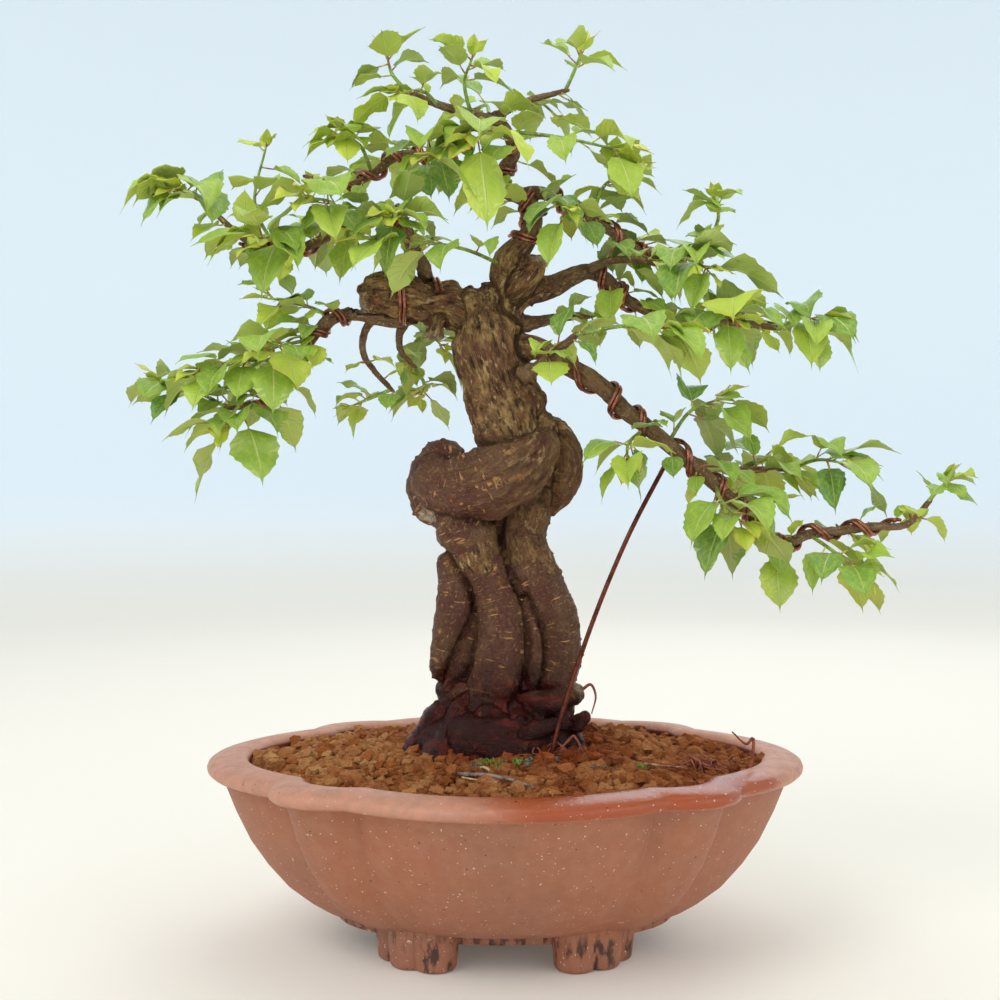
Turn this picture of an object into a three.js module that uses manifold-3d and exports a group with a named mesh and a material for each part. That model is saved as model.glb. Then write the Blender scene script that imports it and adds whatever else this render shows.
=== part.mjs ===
// Bonsai tree in a pot: a wired fruit-tree bonsai in granular soil, in a lobed oval clay bowl.
// Millimetres, +Z up. Everything is drawn from the middle of the pot, where it stands; the last
// step puts the origin under the middle of the whole object. Tree heights are above the soil.

import * as THREE from 'three';
import { mergeVertices } from 'three/addons/utils/BufferGeometryUtils.js';
import Module from 'manifold-3d';

const wasm = await Module();
wasm.setup();

// ---- Driving dimensions ----

const clearance = 0.3; // gap between pieces that touch
const cornerGrid = 0.001;
const leastFacetHeight = 0.02; // a facet that is lower than this is a sliver

const potLength = 299;
const potWidth = 245;
const potHeight = 94.5;
const potWall = 8;
const rimWidth = 20;
const rimDepth = 8;
const floorThickness = 8;
const footHeight = 12;
const footLobeRadius = 9;
const baseRingLength = 170;
const baseRingWidth = 104;
const baseRingHeight = 6;
const baseRingWall = 8;
const drainRadius = 10;
const drainSpacing = 90;

const soilRecess = 8.5; // from the rim down to the soil, at the wall
const moundHeight = 11; // from there up to the soil at the trunk

const screenSize = 36;
const screenThickness = 1.2;
const screenPitch = 10;
const screenHole = 7;
const clipThickness = 1.6;
const clipReach = 15;
const clipLeg = 7.5;

const treeSpread = 1; // sideways scale of the whole tree
const treeRise = 1; // upright scale of the whole tree
const limbGirth = 1; // scale of every trunk and branch radius

const wireThickness = 2.2;
const wirePairWidth = 4.4; // two strands laid side by side
const wireGap = 0.8; // between a branch and the wire round it
const guyRadius = 1.15;
const guyDepthInSoil = 22;

const twigRadius = 1.1;
const leafThickness = 0.8;
const leafWidthShare = 0.6; // of a leaf's own length

// ---- Wood: centre lines as [x, y, height above soil, radius] ----

const stemSides = 7;
const limbSides = 6;
const twigSides = 4;
const shootSides = 3;

const wood = {
  stemFront: { sides: stemSides, route: [
    [-5, -14, -25, 16], [-5, -14, 18, 17], [-3, -13, 37, 12], [-1.5, -12, 56, 12],
    [-5, -9, 75, 10], [-14, -7, 94, 13], [-21, -6, 110, 16.5], [-27, -4, 124, 16]] },
  stemRight: { sides: stemSides, route: [
    [10, -3, -25, 14], [18, -3, 12, 13], [27, -1, 35, 9.7], [29, 0, 51, 12],
    [24, 0, 66, 12], [14, 1, 88, 12], [9, 2, 106, 12], [12, 2, 124, 14]] },
  stemStrand: { sides: twigSides, route: [
    [5, -8, 82, 3.4], [12, -8, 62, 3.2], [14.5, -8, 47, 3.2], [13, -8, 28, 3.4]] },
  stemLeft: { sides: stemSides, route: [
    [-33, -9, 22, 6], [-33, -10, 44, 6], [-29, -9, 55, 8.5], [-25, -8, 70, 10],
    [-26, -6, 86, 7], [-24, -3, 98, 6]] },
  stemLeftBehind: { sides: stemSides, route: [
    [-22, 2, -22, 13], [-29, 2, 20, 9], [-25, 3, 34, 9.6], [-20, 4, 52, 8.5],
    [-14, 5, 74, 7.5], [-10, 6, 96, 8]] },
  stemBack: { sides: stemSides, route: [
    [0, 13, -22, 16], [3, 13, 30, 12], [-5, 12, 60, 11.5], [2, 12, 92, 12], [3, 10, 118, 14]] },
  rootLeft: { sides: limbSides, route: [[-24, -6, 22, 12], [-38, -9, 8, 10], [-50, -13, -10, 7]] },
  rootFront: { sides: limbSides, route: [[-8, -20, 14, 14], [-12, -33, 2, 10], [-14, -42, -12, 7]] },
  rootRight: { sides: limbSides, route: [[16, -6, 18, 12], [30, -8, 4, 9], [40, -8, -10, 6]] },
  rootBack: { sides: limbSides, route: [[4, 18, 14, 13], [9, 32, 2, 10], [12, 42, -12, 7]] },
  rootStub: { sides: limbSides, route: [[2, -14, 20, 6], [22, -17, 27, 5], [39, -18, 30, 4.2]] },
  rootWet: { sides: limbSides, route: [[-4, -26, 6, 6], [13, -27, 9, 5], [28, -24, 13, 4]] },
  foldFront: { sides: stemSides, route: [
    [-37, 1, 138, 14], [-33, -6, 130, 15.5], [-20, -11, 128, 17], [-4, -12, 134, 19],
    [10, -7, 146, 17], [14, -2, 158, 15]] },
  foldBack: { sides: stemSides, route: [
    [14, 9, 120, 11], [24, 9, 132, 13], [26, 7, 146, 13.5], [16, 3, 160, 13]] },
  foldLeft: { sides: stemSides, route: [
    [-22, -3, 116, 15], [-34, -1, 127, 15.5], [-37, 3, 140, 13.5], [-22, 6, 140, 13]] },
  trunk: { sides: stemSides, route: [
    [8, 1, 138, 18], [6, 0, 156, 21], [1, 0, 171, 19.5], [-4, 0, 185, 18.6],
    [-9, 0, 205, 18.5], [-11, 0, 220, 16]] },
  heavyLimb: { sides: stemSides, route: [
    [-10, 0, 210, 15], [-25, 0, 221, 12.5], [-38, 0, 222, 11.3], [-50, -1, 226, 12],
    [-63, -2, 227, 10.5], [-72, -2, 224, 7]] },
  leader: { sides: limbSides, route: [
    [-6, 0, 218, 14], [0.5, 0, 232, 9.5], [1.5, 1, 244, 8], [11, 2, 255, 5.5],
    [14.5, 3, 268, 4.5], [9, 4, 276, 4.2], [-0.5, 3, 280, 4], [-1, 2, 289, 3.8],
    [4.5, 0, 297, 3.5], [2, -2, 306, 3.2], [-6, -1, 318, 2.6]] },
  rightLimb: { sides: limbSides, route: [
    [-4, 2, 222, 13], [8, 2, 229, 9], [23, 3, 231, 6], [33, 4, 236, 5], [42, 4, 239, 4],
    [52, 3, 234, 3.5], [62, 2, 224, 3], [79, 0, 216, 2.6], [98, -2, 213, 2.3],
    [118, -4, 212, 2], [138, -6, 209, 1.6]] },
  cutStub: { sides: limbSides, route: [[3, -4, 226, 8], [13, -9, 237, 6.5], [17, -11, 245, 5]] },
  limbStub: { sides: limbSides, route: [[-33, -3, 216, 7], [-36, -5, 204, 4]] },
  lowerLeft: { sides: twigSides, route: [
    [-46, 2, 218, 6], [-55, 2, 214, 4], [-74, 1, 217, 3.4], [-84, 0, 216, 3.3],
    [-95, -3, 207, 3.1], [-102, -4, 195, 3], [-110, -5, 183, 2.8], [-120, -4, 173, 2.4],
    [-143, 0, 170, 1.8]] },
  hangingOuter: { sides: twigSides, route: [
    [-65, 3, 217, 2.6], [-71, 7, 209, 2.2], [-72, 9, 198, 2], [-67, 11, 190, 1.8],
    [-56, 12, 178, 1.5]] },
  hangingInner: { sides: twigSides, route: [
    [-50, 4, 215, 3], [-54, 11, 207, 2.2], [-53, 14, 199, 1.9], [-45, 17, 191, 1.5]] },
  upperLeft: { sides: twigSides, route: [
    [-42, 1, 226, 6], [-40, 2, 238, 3.8], [-47, 4, 252, 3.5], [-53, 6, 267, 3.3],
    [-62, 6, 267, 3.1], [-77, 5, 262, 2.8], [-101, 2, 251, 2.6], [-113, 0, 248, 2.4],
    [-128, -3, 253, 2.1], [-148, -5, 270, 1.5]] },
  upperLeftBehind: { sides: twigSides, route: [
    [-1, 2, 284, 3.6], [-20, 10, 292, 3], [-40, 14, 299, 2.6], [-54, 16, 300, 2.5],
    [-69, 18, 290, 2.3], [-81, 18, 285, 2.1], [-104, 18, 290, 1.6]] },
  apexLeft: { sides: twigSides, route: [
    [-1, -2, 312, 3], [-24, -3, 318, 2.4], [-40, -5, 323, 2.1], [-51, -6, 328, 1.7]] },
  apexRight: { sides: twigSides, route: [
    [-6, -1, 315, 2.6], [11, 2, 324, 2], [25, 3, 328, 1.7], [33, 4, 330, 1.4]] },
  rightUpper: { sides: twigSides, route: [
    [7, 4, 277, 4], [17, 5, 279, 3.4], [29, 6, 274, 3.2], [39, 7, 268, 3], [58, 7, 257, 2.7],
    [71, 7, 248, 2.5], [85, 6, 247, 2.2], [107, 4, 256, 1.7]] },
  rightUpperFront: { sides: twigSides, route: [
    [41, 4, 239, 3.4], [52, -5, 243, 2.3], [66, -13, 242, 2], [78, -18, 239, 1.6]] },
  rightMiddle: { sides: twigSides, route: [
    [-2, 4, 211, 7], [16, 9, 214, 3.4], [29, 14, 217, 2.6], [48, 20, 219, 1.9]] },
  frontSpur: { sides: twigSides, route: [
    [4, -8, 184, 6], [14, -20, 188, 3.2], [24, -32, 195, 2.4], [35, -40, 204, 2]] },
  cascade: { sides: limbSides, route: [
    [2, -2, 198, 10], [14, -6, 200, 6], [30, -9, 191, 5], [49, -12, 179, 4.5],
    [58, -13, 169, 4.3], [70, -14, 160, 4.1], [89, -15, 144, 3.8], [103, -15, 132, 3.5],
    [112, -15, 124, 3.3], [122, -15, 117, 3.1], [128, -15, 107, 3], [136, -15, 102, 2.9],
    [149, -15, 107, 2.7], [166, -15, 109, 2.5], [181, -15, 111, 2.3], [198, -15, 112, 2],
    [211, -15, 126, 1.5]] },
  cascadeSide: { sides: twigSides, route: [
    [88, -14, 145, 3], [98, -5, 142, 2.4], [112, 2, 139, 2.2], [128, 6, 139, 2],
    [148, 8, 140, 1.6]] },
};

// ---- Training wires: which branch, from and to as shares of its route, and turns ----

const wires = {
  wire_heavy_limb: { branch: 'heavyLimb', from: 0.3, to: 0.72, turns: 1.2, start: 200 },
  wire_lower_left: { branch: 'lowerLeft', from: 0.3, to: 0.9, turns: 6.5, start: 0 },
  wire_upper_left: { branch: 'upperLeft', from: 0.16, to: 0.9, turns: 8.5, start: 60 },
  wire_upper_left_behind: { branch: 'upperLeftBehind', from: 0.12, to: 0.85, turns: 6.5, start: 0 },
  wire_leader: { branch: 'leader', from: 0.27, to: 0.5, turns: 3.5, start: 90 },
  wire_apex: { branch: 'leader', from: 0.64, to: 0.9, turns: 2.6, start: 0 },
  wire_right_upper: { branch: 'rightUpper', from: 0.2, to: 0.9, turns: 6.5, start: 30 },
  wire_right_limb: { branch: 'rightLimb', from: 0.42, to: 0.9, turns: 6.5, start: 0 },
  wire_cascade: { branch: 'cascade', from: 0.13, to: 0.92, turns: 15, start: 120 },
};
const wireStepsPerTurn = 6;
const guyBranch = { branch: 'cascade', at: 0.345 };

// ---- Leafy shoots: route of the twig, number of full leaves, leaf length, how far they droop ----

const shoots = {
  shoot_lower_left_end: [[[-139, 0, 170], [-154, -6, 178], [-170, -10, 183]], 6, 28, 1.0],
  shoot_lower_left_front: [[[-103, -5, 193], [-124, -24, 192], [-146, -34, 186]], 6, 30, 1.2],
  shoot_lower_left_back: [[[-117, -4, 175], [-126, 18, 186], [-134, 34, 197]], 5, 27, 1.0],
  shoot_lower_left_top: [[[-85, 0, 215], [-101, 6, 222], [-119, 8, 226]], 6, 25, 0.8],
  shoot_lower_left_hang: [[[-124, -4, 172], [-130, -16, 166], [-136, -26, 160]], 5, 36, 1.8],
  shoot_lower_left_mid: [[[-97, -3, 204], [-106, -22, 200], [-114, -36, 196]], 5, 31, 1.4],
  shoot_hanging_outer: [[[-58, 12, 180], [-68, 14, 176], [-78, 16, 172]], 4, 20, 1.2],
  shoot_hanging_inner: [[[-46, 17, 191], [-42, 24, 184], [-44, 32, 178]], 4, 22, 1.2],
  shoot_limb_back: [[[-40, 4, 218], [-42, 34, 214], [-34, 52, 206]], 5, 28, 1.2],
  shoot_upper_left_end: [[[-146, -5, 268], [-153, -12, 274], [-158, -22, 274]], 5, 36, 1.7],
  shoot_upper_left_stub: [[[-114, 0, 249], [-126, 4, 272], [-120, 4, 303]], 5, 20, 0.9],
  shoot_upper_left_low: [[[-102, 2, 251], [-110, -24, 252], [-116, -40, 248]], 5, 36, 1.6],
  shoot_upper_left_front: [[[-78, 5, 262], [-84, -26, 268], [-92, -48, 266]], 5, 36, 1.5],
  shoot_upper_left_back: [[[-90, 4, 256], [-98, 34, 264], [-106, 52, 268]], 5, 28, 1.1],
  shoot_upper_left_inner: [[[-53, 6, 267], [-50, -22, 262], [-54, -44, 258]], 6, 32, 1.5],
  shoot_behind_front: [[[-68, 18, 291], [-72, -6, 300], [-78, -20, 302]], 6, 26, 1.0],
  shoot_behind_back: [[[-54, 16, 300], [-60, 40, 306], [-70, 58, 304]], 5, 28, 1.0],
  shoot_behind_inner: [[[-38, 14, 298], [-34, -14, 296], [-36, -36, 288]], 6, 31, 1.4],
  shoot_apex_left_end: [[[-49, -6, 327], [-56, -8, 335], [-58, -10, 342]], 5, 24, 0.8],
  shoot_apex_left_front: [[[-33, -4, 320], [-40, -24, 322], [-50, -36, 318]], 6, 26, 1.1],
  shoot_apex_middle: [[[-17, -3, 316], [-20, -10, 330], [-16, -18, 340]], 6, 25, 0.9],
  shoot_apex_back: [[[-8, -1, 317], [-10, 26, 328], [-18, 44, 330]], 6, 26, 0.9],
  shoot_apex_right_end: [[[30, 4, 329], [35, 5, 340], [38, 4, 348]], 5, 24, 0.9],
  shoot_apex_right_back: [[[12, 2, 324], [18, 26, 330], [28, 42, 326]], 5, 26, 1.0],
  shoot_apex_front: [[[2, -2, 306], [-6, -24, 304], [-14, -38, 296]], 6, 38, 1.9],
  shoot_green_twig: [[[1, -2, 308], [28, -14, 302], [56, -18, 295]], 6, 30, 1.6],
  shoot_centre_twig: [[[0, 0, 241], [-24, -30, 246], [-66, -42, 248]], 6, 30, 1.4],
  shoot_right_upper_left: [[[29, 6, 274], [24, -20, 270], [30, -38, 262]], 5, 28, 1.3],
  shoot_right_upper_top: [[[44, 7, 265], [50, 4, 282], [62, 0, 288]], 6, 26, 1.0],
  shoot_right_upper_back: [[[64, 7, 253], [72, 36, 258], [84, 52, 254]], 5, 28, 1.1],
  shoot_right_upper_end: [[[104, 4, 255], [107, 0, 266], [104, -6, 274]], 4, 23, 0.9],
  shoot_right_front: [[[76, -17, 240], [88, -30, 240], [96, -40, 234]], 6, 33, 1.5],
  shoot_right_limb_end: [[[135, -6, 209], [146, -10, 214], [153, -16, 212]], 6, 33, 1.4],
  shoot_right_limb_front: [[[97, -2, 213], [100, -26, 214], [108, -44, 210]], 6, 34, 1.5],
  shoot_right_limb_back: [[[110, -3, 212], [118, 24, 220], [126, 38, 220]], 5, 27, 1.0],
  shoot_front_spur: [[[34, -40, 203], [56, -50, 206], [80, -54, 204]], 6, 35, 1.7],
  shoot_cascade_low_left: [[[70, -14, 160], [60, -26, 152], [58, -38, 144]], 5, 27, 1.3],
  shoot_cascade_top: [[[80, -15, 152], [92, -8, 168], [106, -2, 174]], 6, 29, 1.1],
  shoot_cascade_hang: [[[104, -15, 131], [104, -32, 124], [112, -42, 114]], 5, 36, 1.8],
  shoot_cascade_side_end: [[[146, 8, 140], [158, 2, 144], [170, -6, 142]], 6, 34, 1.5],
  shoot_cascade_side_back: [[[126, 6, 139], [132, 28, 146], [144, 42, 144]], 5, 28, 1.0],
  shoot_cascade_low_right: [[[150, -15, 107], [158, -28, 100], [168, -36, 92]], 6, 29, 1.4],
  shoot_cascade_end: [[[208, -15, 123], [213, -19, 130], [216, -22, 134]], 4, 20, 1.1],
};
const goldenAngle = THREE.MathUtils.degToRad(137.5);
const firstLeafShare = 0.4; // bare stretch of a twig before its first leaf
const leafLean = THREE.MathUtils.degToRad(32); // from square to the twig towards its tip
const leafTries = 12;

// ---- Solids ----

function tidied(geometry) {
  geometry.deleteAttribute('normal');
  geometry.deleteAttribute('uv');
  const welded = mergeVertices(geometry, 1e-4);
  const corners = welded.index.array;
  const kept = [];
  for (let i = 0; i < corners.length; i += 3) {
    const [a, b, c] = corners.slice(i, i + 3);
    if (a !== b && b !== c && c !== a) kept.push(a, b, c);
  }
  welded.setIndex(kept);
  return welded;
}

function toSolid(geometry) {
  const welded = tidied(geometry);
  return new wasm.Manifold(new wasm.Mesh({
    numProp: 3,
    vertProperties: new Float32Array(welded.attributes.position.array),
    triVerts: new Uint32Array(welded.index.array),
  }));
}

// Corners closer than the grid become one, so that no sliver is left where solids were joined.
function toGeometry(solid) {
  const mesh = solid.getMesh();
  const corners = mesh.vertProperties.map((value) => Math.round(value / cornerGrid) * cornerGrid);
  const geometry = new THREE.BufferGeometry();
  geometry.setAttribute('position', new THREE.BufferAttribute(corners, 3));
  geometry.setIndex(new THREE.BufferAttribute(mesh.triVerts, 1));
  return tidied(geometry);
}

function isClosed(geometry) {
  const corners = geometry.index.array;
  const edges = new Set();
  for (let i = 0; i < corners.length; i += 3) {
    for (const [a, b] of [[0, 1], [1, 2], [2, 0]]) edges.add(`${corners[i + a]} ${corners[i + b]}`);
  }
  const paired = [...edges].every((edge) => edges.has(edge.split(' ').reverse().join(' ')));
  return paired && edges.size === corners.length;
}

function sliverCount(geometry) {
  const position = geometry.attributes.position;
  const corners = geometry.index.array;
  const facet = new THREE.Triangle();
  let count = 0;
  for (let i = 0; i < corners.length; i += 3) {
    facet.setFromAttributeAndIndices(position, corners[i], corners[i + 1], corners[i + 2]);
    const longest = Math.max(
      facet.a.distanceTo(facet.b), facet.b.distanceTo(facet.c), facet.c.distanceTo(facet.a));
    if (2 * facet.getArea() < leastFacetHeight * longest) count += 1;
  }
  return count;
}

function joined(solids) {
  return solids.reduce((whole, solid) => whole.add(solid));
}

function largestPiece(solid) {
  const pieces = solid.decompose();
  return pieces.reduce((best, piece) => (piece.volume() > best.volume() ? piece : best));
}

function placed(geometry, x, y, z) {
  return toSolid(geometry.translate(x, y, z));
}

// ---- Tubes along a route ----

function routeOf(points, smooth = true) {
  const vectors = points.map(([x, y, z]) => new THREE.Vector3(x, y, z));
  return new THREE.CatmullRomCurve3(vectors, false, smooth ? 'centripetal' : 'catmullrom', 0);
}

// A centre, a tangent and two square directions at each step, carried along without twist.
function framesAlong(route, from, to, steps) {
  const frames = [];
  let across = new THREE.Vector3(0, 1, 0);
  for (let k = 0; k <= steps; k += 1) {
    const share = from + (to - from) * k / steps;
    const tangent = route.getTangent(share);
    across = across.clone().addScaledVector(tangent, -across.dot(tangent)).normalize();
    const other = tangent.clone().cross(across);
    frames.push({ share, centre: route.getPoint(share), tangent, across, other });
  }
  return frames;
}

function radiusAt(radii, share) {
  const place = share * (radii.length - 1);
  const before = Math.min(Math.floor(place), radii.length - 2);
  return THREE.MathUtils.lerp(radii[before], radii[before + 1], place - before);
}

// Extra swells the tube all over, its two ends too, to make the space that it must be given.
function tube(points, radii, { sides, extra = 0, stepsPerSpan = 1, smooth = true }) {
  const steps = (points.length - 1) * stepsPerSpan;
  const frames = framesAlong(routeOf(points, smooth), 0, 1, steps);
  frames[0].centre.addScaledVector(frames[0].tangent, -extra);
  frames[steps].centre.addScaledVector(frames[steps].tangent, extra);
  const geometry = new THREE.CylinderGeometry(1, 1, 1, sides, steps);
  const position = geometry.attributes.position;
  for (let i = 0; i < position.count; i += 1) {
    const frame = frames[Math.round((0.5 - position.getY(i)) * steps)];
    const radius = radiusAt(radii, frame.share) + extra;
    const point = frame.centre.clone();
    point.addScaledVector(frame.across, position.getX(i) * radius);
    point.addScaledVector(frame.other, position.getZ(i) * radius);
    position.setXYZ(i, point.x, point.y, point.z);
  }
  return toSolid(geometry);
}

// ---- The lobed oval that the pot and the soil share ----

const endCusp = { x: 0.747, y: 0.618 };
const sideCusp = { x: 0.507, y: 0.854 };
const lobes = [
  { from: [endCusp.x, -endCusp.y], to: [endCusp.x, endCusp.y], bulge: 0.253, steps: 7 },
  { from: [endCusp.x, endCusp.y], to: [sideCusp.x, sideCusp.y], bulge: 0.04, steps: 2 },
  { from: [sideCusp.x, sideCusp.y], to: [-sideCusp.x, sideCusp.y], bulge: 0.146, steps: 8 },
  { from: [-sideCusp.x, sideCusp.y], to: [-endCusp.x, endCusp.y], bulge: 0.04, steps: 2 },
];
const plainRadius = 0.985; // where the lobes fade, the oval is this share of the full size

function lobePoint({ from, to, bulge }, share) {
  const half = Math.hypot(to[0] - from[0], to[1] - from[1]) / 2;
  const radius = (half * half + bulge * bulge) / (2 * bulge);
  const out = [(to[1] - from[1]) / (2 * half), (from[0] - to[0]) / (2 * half)];
  const middle = [(from[0] + to[0]) / 2, (from[1] + to[1]) / 2];
  const swing = Math.asin(half / radius) * (2 * share - 1);
  const along = radius * Math.sin(swing);
  const beyond = radius * Math.cos(swing) - radius + bulge;
  return [middle[0] + out[0] * beyond - out[1] * along, middle[1] + out[1] * beyond + out[0] * along];
}

function halfOutline() {
  return lobes.flatMap((lobe) => Array.from({ length: lobe.steps }, (_, k) => lobePoint(lobe, k / lobe.steps)));
}
const outline = [...halfOutline(), ...halfOutline().map(([x, y]) => [-x, -y])];

// A level is [half length, half width, height, how strong the lobes are there from 0 to 1].
// A heap's levels run from the top down, so that it is split into the same facets as the wall
// of the bowl around it, and its faces are then turned to point out.
function bowl(levels, isHeap = false) {
  const profile = levels.map(() => new THREE.Vector2(1, 0));
  const geometry = new THREE.LatheGeometry(profile, outline.length);
  for (let i = 0; i <= outline.length; i += 1) {
    const [x, y] = outline[i % outline.length];
    const plain = plainRadius / Math.hypot(x, y);
    levels.forEach(([halfLength, halfWidth, height, strength], j) => {
      const stretch = THREE.MathUtils.lerp(plain, 1, strength);
      geometry.attributes.position.setXYZ(
        i * levels.length + j, x * stretch * halfLength, y * stretch * halfWidth, height);
    });
  }
  if (isHeap) geometry.index.array.reverse();
  return toSolid(geometry);
}

// ---- Pot ----

const halfLength = potLength / 2;
const halfWidth = potWidth / 2;
const ringTop = footHeight + baseRingHeight;
const floorTop = ringTop + floorThickness - 2;
const floorUnderside = floorTop - floorThickness;
const bodyTop = potHeight - rimDepth - 2;

// The body's outside as [inset from the rim's edge at the ends, at the sides, share of height].
const bodyCurve = [[61, 65, 0], [48, 51, 0.08], [29, 31, 0.36], [9, 8, 1]];
const bodyLevels = bodyCurve.map(([atEnds, atSides, share]) => [
  halfLength - atEnds, halfWidth - atSides, ringTop + share * (bodyTop - ringTop), 0.35 + 0.65 * share]);
const innerLevels = bodyLevels.slice(1).reverse().map(([length, width, height, strength]) => [
  length - potWall, width - potWall, Math.max(height, floorTop + 2), strength]);
innerLevels[0] = [halfLength - rimWidth, halfWidth - rimWidth - 1, bodyTop, 1];

const floorHalfLength = halfLength - bodyCurve[0][0] - potWall;
const floorHalfWidth = halfWidth - bodyCurve[0][1] - potWall;

function ringLevel(inset, height) {
  return [baseRingLength / 2 - inset, baseRingWidth / 2 - inset, height, 0.4];
}

function rimLevels() {
  return [
    [halfLength - 2, halfWidth - 2, potHeight - rimDepth, 1],
    [halfLength, halfWidth, potHeight - rimDepth + 3, 1],
    [halfLength - 2, halfWidth - 2, potHeight - 3, 1],
    [halfLength - rimWidth + 6, halfWidth - rimWidth + 5, potHeight, 1],
    [halfLength - rimWidth, halfWidth - rimWidth - 1, potHeight - 2, 1],
  ];
}

function foot(sideX, sideY) {
  const height = footHeight + 1;
  const lobesOfFoot = [[-0.62, 0], [0, 0.28], [0.62, 0]].map(([along, out]) => {
    const around = Math.PI / 4 + along * 0.42;
    const reachX = baseRingLength / 2 - footLobeRadius - 2 + out * footLobeRadius;
    const reachY = baseRingWidth / 2 - footLobeRadius + 3 + out * footLobeRadius;
    const column = new THREE.CylinderGeometry(footLobeRadius, footLobeRadius * 0.86, height, 8);
    column.rotateX(Math.PI / 2);
    return placed(column, sideX * reachX * Math.cos(around) * 0.86, sideY * reachY * Math.sin(around) * 1.3,
      height / 2);
  });
  return joined(lobesOfFoot);
}

function drainX(side) {
  return side * drainSpacing / 2;
}

function makePot() {
  const shell = bowl([
    [0, 0, floorUnderside, 0],
    ringLevel(baseRingWall, floorUnderside),
    ringLevel(baseRingWall, footHeight),
    ringLevel(0, footHeight),
    ringLevel(0, ringTop),
    ...bodyLevels,
    ...rimLevels(),
    ...innerLevels,
    [floorHalfLength, floorHalfWidth, floorTop, 0.35],
    [0, 0, floorTop, 0],
  ]);
  const feet = [[-1, -1], [1, -1], [1, 1], [-1, 1]].map(([x, y]) => foot(x, y));
  const drains = [-1, 1].map((side) => {
    const hole = new THREE.CylinderGeometry(drainRadius, drainRadius, 4 * floorThickness, 16);
    return placed(hole.rotateX(Math.PI / 2), drainX(side), 0, floorTop);
  });
  return joined([shell, ...feet]).subtract(joined(drains));
}

// ---- Drain screens and the wire clips that hold them ----

function makeScreen(side) {
  const middle = floorTop + clearance + screenThickness / 2;
  const plate = placed(new THREE.BoxGeometry(screenSize, screenSize, screenThickness), drainX(side), 0, middle);
  const holes = [-1, 0, 1].flatMap((column) => [-1, 0, 1].map((row) => {
    const hole = new THREE.BoxGeometry(screenHole, screenHole, 3 * screenThickness);
    return placed(hole, drainX(side) + column * screenPitch, row * screenPitch, middle);
  }));
  return plate.subtract(joined(holes));
}

function makeClip(side) {
  const over = floorTop + screenThickness + 2 * clearance + clipThickness / 2;
  const under = floorUnderside - clearance - clipThickness / 2;
  const route = [[-clipReach, under], [-clipLeg, under], [-clipLeg, over], [clipLeg, over],
    [clipLeg, under], [clipReach, under]];
  const points = route.map(([x, z]) => [drainX(side) + x, 0, z]);
  return tube(points, points.map(() => clipThickness / 2), { sides: 4, smooth: false });
}

// ---- Soil ----

const soilEdge = potHeight - soilRecess;
const soilLevel = soilEdge + moundHeight;

function innerAt(height) {
  const above = innerLevels.findLast((level) => level[2] >= height);
  const below = innerLevels[innerLevels.indexOf(above) + 1];
  const share = (height - below[2]) / (above[2] - below[2]);
  return above.map((value, i) => THREE.MathUtils.lerp(below[i], value, share));
}

function makeSoil(trunkSpace) {
  const gap = 1.5 * clearance; // the wall leans, so the level gap is wider than the true one
  const edge = soilEdge > innerLevels[0][2]
    ? [innerLevels[0][0], innerLevels[0][1], soilEdge, 1]
    : innerAt(soilEdge);
  const walls = innerLevels.filter((level) => level[2] < soilEdge);
  const snug = [edge, ...walls, [floorHalfLength, floorHalfWidth, floorTop + clearance, 0.35]]
    .map(([length, width, height, strength]) => [length - gap, width - gap, height, strength]);
  const mound = [[0.4, 0.88], [0.76, 0.4]].map(([out, up]) => [
    out * edge[0], out * edge[1], soilEdge + up * moundHeight, out]);
  const heap = bowl([[0, 0, soilLevel, 0], ...mound, ...snug, [0, 0, floorTop + clearance, 0]], true);
  const pockets = [-1, 1].map((side) => {
    const width = screenSize + 2 * clearance;
    const depth = 2 * (screenThickness + 3 * clearance + clipThickness);
    return placed(new THREE.BoxGeometry(width, width, depth), drainX(side), 0, floorTop);
  });
  return largestPiece(heap.subtract(trunkSpace).subtract(joined(pockets)));
}

// ---- Tree ----

function onTree([x, y, height]) {
  return [x * treeSpread, y * treeSpread, soilLevel + (height > 0 ? height * treeRise : height)];
}

function branchRoute(name) {
  return wood[name].route.map(onTree);
}

function branchRadii(name) {
  return wood[name].route.map((point) => point[3] * limbGirth);
}

function makeWood(extra = 0) {
  return joined(Object.keys(wood).map(
    (name) => tube(branchRoute(name), branchRadii(name), { sides: wood[name].sides, extra })));
}

// A pair of strands wound round a branch, as one flat band.
function makeWire({ branch, from, to, turns, start }, extra = 0) {
  const steps = Math.ceil(turns * wireStepsPerTurn);
  const frames = framesAlong(routeOf(branchRoute(branch)), from, to, steps);
  const geometry = new THREE.BoxGeometry(1, 1, 1, 1, 1, steps);
  const position = geometry.attributes.position;
  const cornerSpare = 1 / Math.cos(Math.PI / wireStepsPerTurn);
  for (let i = 0; i < position.count; i += 1) {
    const step = Math.round((position.getZ(i) + 0.5) * steps);
    const frame = frames[step];
    const radius = (radiusAt(branchRadii(branch), frame.share) + wireGap) * cornerSpare;
    const angle = THREE.MathUtils.degToRad(start) + 2 * Math.PI * turns * step / steps;
    const out = frame.across.clone().multiplyScalar(Math.cos(angle))
      .addScaledVector(frame.other, Math.sin(angle));
    const point = frame.centre.clone();
    point.addScaledVector(out, radius + wireThickness / 2 + position.getX(i) * (wireThickness + 2 * extra));
    point.addScaledVector(frame.tangent, -position.getY(i) * (wirePairWidth + 2 * extra));
    position.setXYZ(i, point.x, point.y, point.z);
  }
  return toSolid(geometry);
}

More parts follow.
